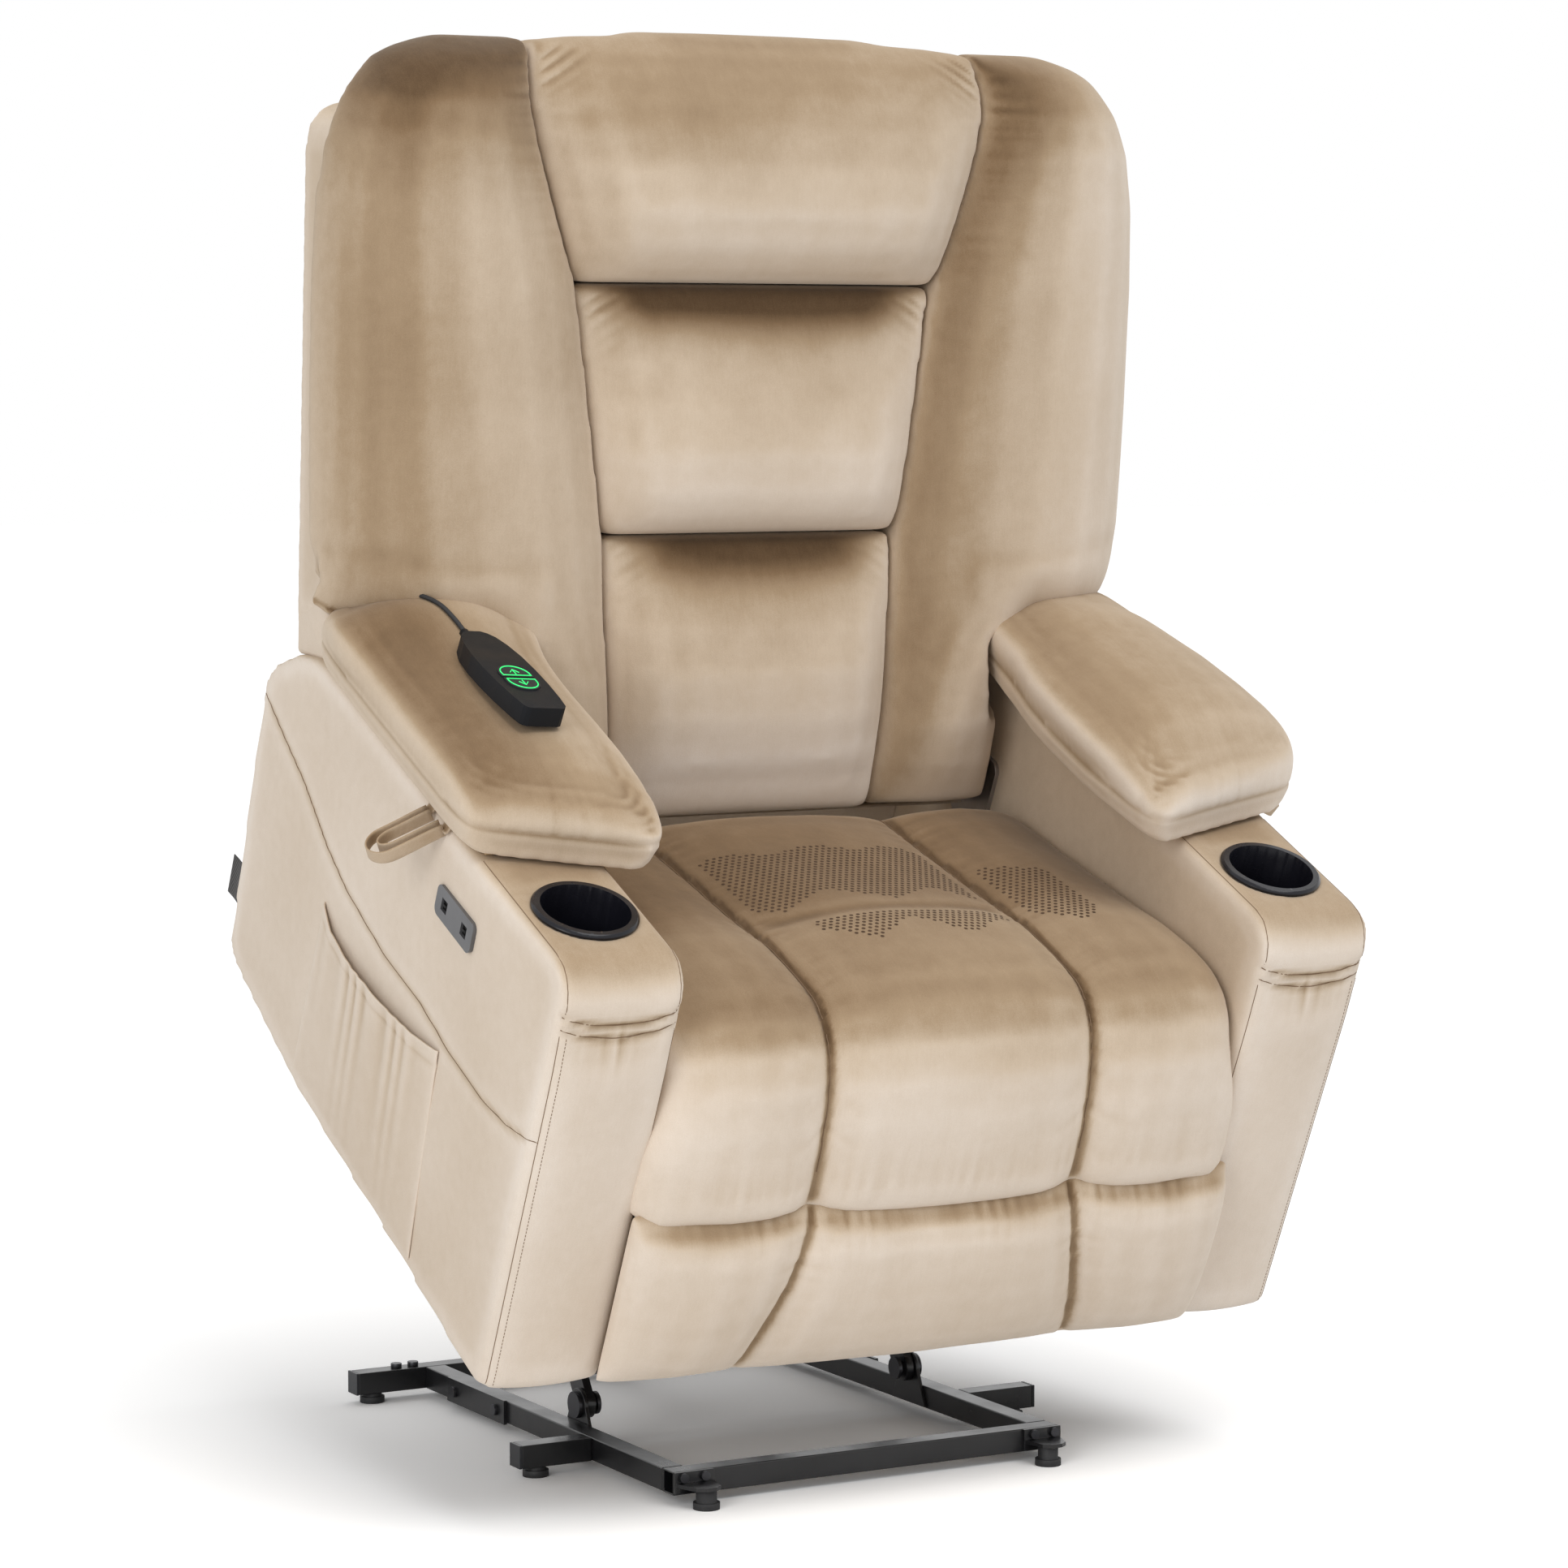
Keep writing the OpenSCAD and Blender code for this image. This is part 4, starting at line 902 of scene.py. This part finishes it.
# ---------------------------------------------------------------- pull loops, label, webbing, pocket
LOOP_HALF, LOOP_LONG, LOOP_Y = 19.2, 54, 329   # half width, straight length and place along the arm
LOOP_DROP = math.radians(27)
for side, sign in (("left", -1), ("right", 1)):
    flat = [(0, -LOOP_HALF)] + [(x, -LOOP_HALF + 0.25 * math.sin(x / 9)) for x in range(6, LOOP_LONG, 6)]
    flat += [(LOOP_LONG + LOOP_HALF * math.sin(a), -LOOP_HALF * math.cos(a))
             for a in np.linspace(0, math.pi, 17)]
    flat += [(x, LOOP_HALF + 0.25 * math.sin(x / 8)) for x in range(LOOP_LONG - 6, 0, -6)] + [(0, LOOP_HALF)]
    root = np.array([ARM_OUT + 4.4, LOOP_Y, 462])
    path = np.array([root + (u * math.cos(LOOP_DROP), v, -u * math.sin(LOOP_DROP)) for u, v in flat])
    wide = np.array([(math.sin(LOOP_DROP) + 0.12 * math.sin(i / 5), 0, math.cos(LOOP_DROP))
                     for i in range(len(path))])
    tabs = [np.array([(ARM_OUT + 1.0, LOOP_Y + v, 471.3), (ARM_OUT + 0.9, LOOP_Y + v, 466),
                      (ARM_OUT + 3.2, LOOP_Y + v, 462.4), (ARM_OUT + 6, LOOP_Y + v, 461)])
            for v in (-LOOP_HALF, LOOP_HALF)]
    inner = root + (path - root) * (0.84, 0.55, 0.84) + (0, 0, 0.5)
    for which, line in (("loop", path), ("fold", inner), ("tab_a", tabs[0]), ("tab_b", tabs[1])):
        across = wide if which in ("loop", "fold") else np.tile((0, 1.0, 0), (len(line), 1))
        line, across = line * (sign, 1, 1), across * (sign, 1, 1)
        ob = strip(f"pull_{which}_{side}", line, across, 14, 2.0, tape, "pad_lid_" + side)
        if which == "loop":
            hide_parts("loop_" + side)


def grid_piece(name, point, nu, nv, thick, look, body, replaced=()):
    """A thin sheet from a function of two shares, in the seated frame; it is solid, thick mm."""
    uv = [(i / nu, j / nv) for j in range(nv + 1) for i in range(nu + 1)]
    verts = np.array([point(u, v) for u, v in uv])
    mesh = bpy.data.meshes.new(name)
    faces = [(j * (nu + 1) + i, j * (nu + 1) + i + 1, (j + 1) * (nu + 1) + i + 1, (j + 1) * (nu + 1) + i)
             for j in range(nv) for i in range(nu)]
    mesh.from_pydata([tuple(v) for v in verts / 1000], [], faces)
    ob = new_object(name, mesh)
    modify(ob, "SOLIDIFY", thickness=thick / 1000, offset=0)
    modify(ob, "BEVEL", width=thick / 4000, segments=2, limit_method="ANGLE", angle_limit=1.0)
    bake(ob)
    seat = get_co(ob) * 1000
    set_shade(ob, seat, normals(ob), edges(ob), np.zeros(len(seat)))
    set_co(ob, to_row(seat))
    finish_piece(ob, body, look)
    if replaced:
        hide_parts(*replaced)
    return ob


POCKET_REAR, POCKET_LONG = 536, 296
MOUTH = [(240, 254), (290, 244), (360, 236), (440, 232), (500, 236), (536, 250)]


def pocket_point(u, v):
    """u runs from the rear edge to the front, v from the mouth down."""
    y0 = POCKET_REAR + (540 - POCKET_REAR) * v
    y1 = 240 + (217 - 240) * v
    y = y0 + (y1 - y0) * u
    top = np.interp(POCKET_REAR - POCKET_LONG * u, [m[0] for m in MOUTH], [m[1] for m in MOUTH])
    z = top + ((26 + 24 * (1 - u)) - top) * v
    round_in = (math.sin(math.pi * min(max(u, 0), 1)) ** 0.5) * (1 - v ** 3)
    down = v * 210
    fold = 3.0 * math.exp(-down / 75) * math.sin(u * 61 + 2.2 * math.sin(u * 17)) * math.sin(math.pi * u)
    hem = 0.8 * math.exp(-((down - 6) / 7) ** 2) - 0.9 * math.exp(-((down - 15) / 2.5) ** 2)
    belly = (5.2 + 5 * math.exp(-down / 30) * (1 - 0.5 * u)) * round_in
    ripple = 0.55 * fold * (0.3 + 0.7 * min(1, down / 15))
    return -(ARM_OUT + 0.2 + belly + ripple + hem * 0.6), y, z


pocket = grid_piece("pocket_cover", pocket_point, 90, 70, 1.6, velvet, "chair",
                    ["side_pocket"])
grid_piece("side_label",
           lambda u, v: (-447.5 + 1.1 * math.sin(u * 4) * u, 747.4 + 36.6 * u + 2.8 * v * (1 - u),
                         118 + 46 * v),
           14, 10, 1.0, woven, "chair", ["side_tag"])
for i, x in enumerate(range(-240, 241, 120)):
    strap = grid_piece(f"seat_strap_long_{i + 1}",
                       lambda u, v, x=x: (x - 29 + 58 * u, 45 + 555 * v, 226 - 0.3 * math.cos(v * 31.4)),
                       6, 60, 1.5, woven, "chair")
    if i == 0:
        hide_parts("seat_webbing")
for i, y in enumerate(range(150, 481, 110)):
    grid_piece(f"seat_strap_cross_{i + 1}",
               lambda u, v, y=y: (-317 + 634 * v, y - 27 + 54 * u, 228 + 0.3 * math.cos(v * 31.4)),
               6, 60, 1.5, woven, "chair")

# ---------------------------------------------------------------- seams
for side, sign in (("left", -1), ("right", 1)):
    cover = "arm_cover_" + side
    line = [(sign * ARM_OUT, y, z) for y, z in SIDE_SEAM]
    seam("arm_side_seam_" + side, cover, line, (-sign, 0, 0), "chair", radius=0.45)
    for where, x in (("outer", 450), ("inner", 332)):
        bend = [(240, 469), (120, 469), (70, 469), (48, 466), (36, 460), (29, 450), (26, 438), (25, 424)]
        turn = [(0, -1), (0, -1), (0, -1), (0.25, -1), (0.6, -0.8), (1, -0.5), (1, -0.2), (1, 0)]
        line = np.array([(sign * x, y, z, 0, dy, dz) for (y, z), (dy, dz) in zip(bend, turn)], float)
        line = resample(line, 4)
        seam(f"arm_nose_seam_{where}_{side}", cover, line[:, :3], line[:, 3:], "chair", radius=0.4,
             exact=True)
    for what, x, radius, stitch in (("corner_seam", 451, 0.4, 0), ("corner_stitch", 445, 0.35, 4),
                                    ("inner_corner_seam", 331, 0.4, 0)):
        line = [(sign * x, ARM_FACE, z) for z in range(8, 408, 8)]
        seam(f"arm_{what}_{side}", cover, line, (0, 1, 0), "chair", radius=radius, stitch=stitch)
    for k in (0, 1):
        line = [(sign * x, ARM_FACE, band_level(x, k)) for x in range(331, 455, 4)]
        seam(f"arm_band_seam_{k + 1}_{side}", cover, line, (0, 1, 0), "chair", radius=0.5)
for k, x in enumerate((-SEAT_SEAM, SEAT_SEAM)):
    seam(f"seat_seam_{k + 1}", "seat_pad", [(x, y, 420) for y in range(60, 500, 6)], (0, 0, -1), "chair",
         radius=0.6, lift=0.1)
    seam(f"seat_seam_front_{k + 1}", "seat_pad", [(x, 0, z) for z in range(236, 372, 6)], (0, 1, 0), "chair",
         radius=0.6, lift=0.1)

# ---------------------------------------------------------------- perforated patches of the seat
DOT_RADIUS, DOT_SIDES, DOT_ROWS, DOT_SPACING = 2.1, 8, 6.4, 7.4


def dots(name, first, last, inside):
    """Round perforations in staggered rows, each a small dark disc of painted shadow set on the plush."""
    pts = []
    for j, y in enumerate(np.arange(first, last, DOT_ROWS)):
        for x in np.arange(-320, 321, DOT_SPACING):
            x = x + (DOT_SPACING / 2 if j % 2 else 0)
            if inside(x, y):
                pts.append((x, y, 430))
    at, n = lay("seat_pad", pts, (0, 0, -1), lift=0.25)
    verts, faces = [], []
    for p, m in zip(at, n):
        a = np.cross(m, (1, 0, 0))
        a /= np.linalg.norm(a)
        b = np.cross(m, a)
        base = len(verts)
        verts += [p + DOT_RADIUS * (math.cos(t) * a + math.sin(t) * b)
                  for t in np.linspace(0, 2 * math.pi, DOT_SIDES + 1)[:-1]]
        verts.append(p + m * 0.15)
        faces += [(base + i, base + (i + 1) % DOT_SIDES, base + DOT_SIDES) for i in range(DOT_SIDES)]
    mesh = bpy.data.meshes.new(name)
    mesh.from_pydata([tuple(v) for v in to_row(verts)], [], faces)
    ob = new_object(name, mesh)
    finish_piece(ob, "chair", hole)


def zigzag(x, wave):
    return abs((x / wave) % 2 - 1)


dots("seat_vents_rear", 236, 400,
     lambda x, y: -128 < x < 128 and 240 + 34 * zigzag(x + 40, 62) < y < 372 + 18 * zigzag(x, 50))
dots("seat_vents_front", 120, 214,
     lambda x, y: -92 < x < 128 and 150 + 40 * zigzag(x - 10, 55) < y < 206)
dots("seat_vents_side", 150, 360,
     lambda x, y: 166 < x < 236 and 170 + 60 * zigzag(x, 70) < y < 330 and y < 330 - 0.4 * (x - 166))

# ---------------------------------------------------------------- handset marks and ports
HAND = (Matrix.Translation(Vector((-372, 409, 561.7))) @ Matrix.Rotation(math.radians(2), 4, "Z")
        @ Matrix.Rotation(math.radians(5), 4, "Y") @ Matrix.Rotation(math.radians(-1), 4, "X"))


def on_hand(points):
    return np.array([tuple(HAND @ Vector(p)) for p in points])


KEYS_Y, LIGHT_Z = -20, 21.45   # middle of the two keys along the handset, and the level of their light rings
ARROW_Z = LIGHT_Z - 0.05


def half_oval(sign):
    """Outline of a key's light ring, a little inside the key's edge."""
    r, base = 15.6, 3.9
    arc = [(r * math.cos(a), 8 + r * math.sin(a)) for a in np.linspace(0, math.pi, 21)]
    line = [(r, base), *arc, (-r, base)]
    return [(x, KEYS_Y + sign * y, LIGHT_Z) for x, y in line]


for which, sign in (("up", 1), ("down", -1)):
    ring = half_oval(sign)
    tube(f"key_light_{which}", [on_hand(ring)], 0.65, glow, f"key_{which}", closed=True)
    head = [(x, KEYS_Y + sign * y, ARROW_Z) for x, y in ((-5, 10), (0, 16.5), (5, 10))]
    shaft = [(0, KEYS_Y + sign * y, ARROW_Z) for y in (16.5, 6.5)]
    tube(f"key_arrow_{which}", [on_hand(head), on_hand(shaft)], 0.55, glow, f"key_{which}")

# rounded edges of the CAD pieces that show, by their width in mm
EDGES = {2.0: ["control_box"],
         1.5: ["front_bar", "rear_bar", "rail_left", "rail_right", "mid_outriggers", "seat_frame",
               "footrest_board"],
         1.4: ["handset"], 1.2: ["motor_housing"], 1.0: ["pad_board_left", "pad_board_right"],
         0.8: ["usb_plate", "actuator_tube", "glide_feet", "lift_arms", "lift_frame"],
         0.7: ["cup_holder_left", "cup_holder_right"], 0.6: ["tube_caps"],
         0.5: ["button_up", "button_down", "foot_brackets", "pivot_brackets", "footrest_crank",
               "footrest_link", "hinge_plates"],
         0.4: ["base_fasteners"]}
for width, names in EDGES.items():
    for node_name in names:
        modify(NODES[node_name], "WELD", merge_threshold=0.00001)
        modify(NODES[node_name], "BEVEL", width=width / 1000, segments=2, limit_method="ANGLE",
               angle_limit=math.radians(35), use_clamp_overlap=True, harden_normals=True)
PLATE_OUT = -458.1   # across: just inside the face of the charging plate
for k, y in enumerate((226, 273)):
    mesh = bpy.data.meshes.new(f"port_{k + 1}")
    bm = bmesh.new()
    for low, high in (((-458.6, y + 0.6, 388.6), (PLATE_OUT, y + 12.4, 400.4)),
                      ((-460.6, y + 3, 393.2), (PLATE_OUT, y + 10, 395.6))):
        low, high = Vector(low), Vector(high)
        for v in bmesh.ops.create_cube(bm, size=1)["verts"]:
            v.co = (low + high) / 2 + v.co * (high - low)
    bmesh.ops.bevel(bm, geom=bm.edges[:], offset=0.15, segments=2, affect="EDGES")
    bm.to_mesh(mesh)
    bm.free()
    port = new_object(f"charging_port_{k + 1}", mesh)
    set_co(port, to_row(get_co(port)))
    finish_piece(port, "chair", socket_dark)

# ---------------------------------------------------------------- floor, light and background
floor_mesh = bpy.data.meshes.new("floor")
floor_mesh.from_pydata([(-30, -30, 0), (30, -30, 0), (30, 30, 0), (-30, 30, 0)], [], [(0, 1, 2, 3)])
floor = new_object("floor", floor_mesh)
floor_look = bpy.data.materials.new("pale_floor")
floor_look.use_nodes = True
tree = floor_look.node_tree
tree.nodes.remove(tree.nodes["Principled BSDF"])
matt = add(floor_look, "ShaderNodeBsdfDiffuse")
seen = add(floor_look, "ShaderNodeLightPath")
paler = add(floor_look, "ShaderNodeMapRange", {"To Min": 0.8, "To Max": 1.22})
join(floor_look, seen, "Is Camera Ray", paler, "Value")
join(floor_look, paler, "Result", matt, "Color")
join(floor_look, matt, "BSDF", tree.nodes["Material Output"], "Surface")
floor_mesh.materials.append(floor_look)

world = bpy.data.worlds.new("studio")
bpy.context.scene.world = world
world.use_nodes = True
background = world.node_tree.nodes["Background"]
background.inputs["Color"].default_value = (1, 1, 1, 1)
# full white for what the camera sees directly or mirrored, dimmer as light on the object
ray = add(world, "ShaderNodeLightPath")
direct = calc(world, "MAXIMUM", ray, ray, "Is Camera Ray", "Is Transmission Ray")
shown = calc(world, "MAXIMUM", direct, ray, 0, "Is Glossy Ray")
strength = add(world, "ShaderNodeMapRange", {"To Min": 0.49, "To Max": 1.0})
join(world, shown, 0, strength, "Value")
join(world, strength, "Result", background, "Strength")


def area(name, at, target, size, watts):
    lamp = bpy.data.lights.new(name, "AREA")
    lamp.shape, lamp.size, lamp.energy = "DISK", size, watts
    ob = bpy.data.objects.new(name, lamp)
    bpy.context.scene.collection.objects.link(ob)
    ob.location = at
    ob.rotation_euler = (Vector(target) - Vector(at)).to_track_quat("-Z", "Y").to_euler()


sun = bpy.data.lights.new("sky_light", "SUN")
sun.energy, sun.angle = 1.45, math.radians(45)
sun_ob = bpy.data.objects.new("sky_light", sun)
bpy.context.scene.collection.objects.link(sun_ob)
sun_ob.rotation_euler = Vector((-0.14, 0.55, -0.95)).to_track_quat("-Z", "Y").to_euler()
area("fill", (-3.6, -2.6, 1.9), (0, 0, 0.7), 2.6, 62)
area("top", (0.2, 0.6, 4.2), (0, 0, 0.6), 3.0, 20)
bpy.context.scene.view_settings.view_transform = "Standard"
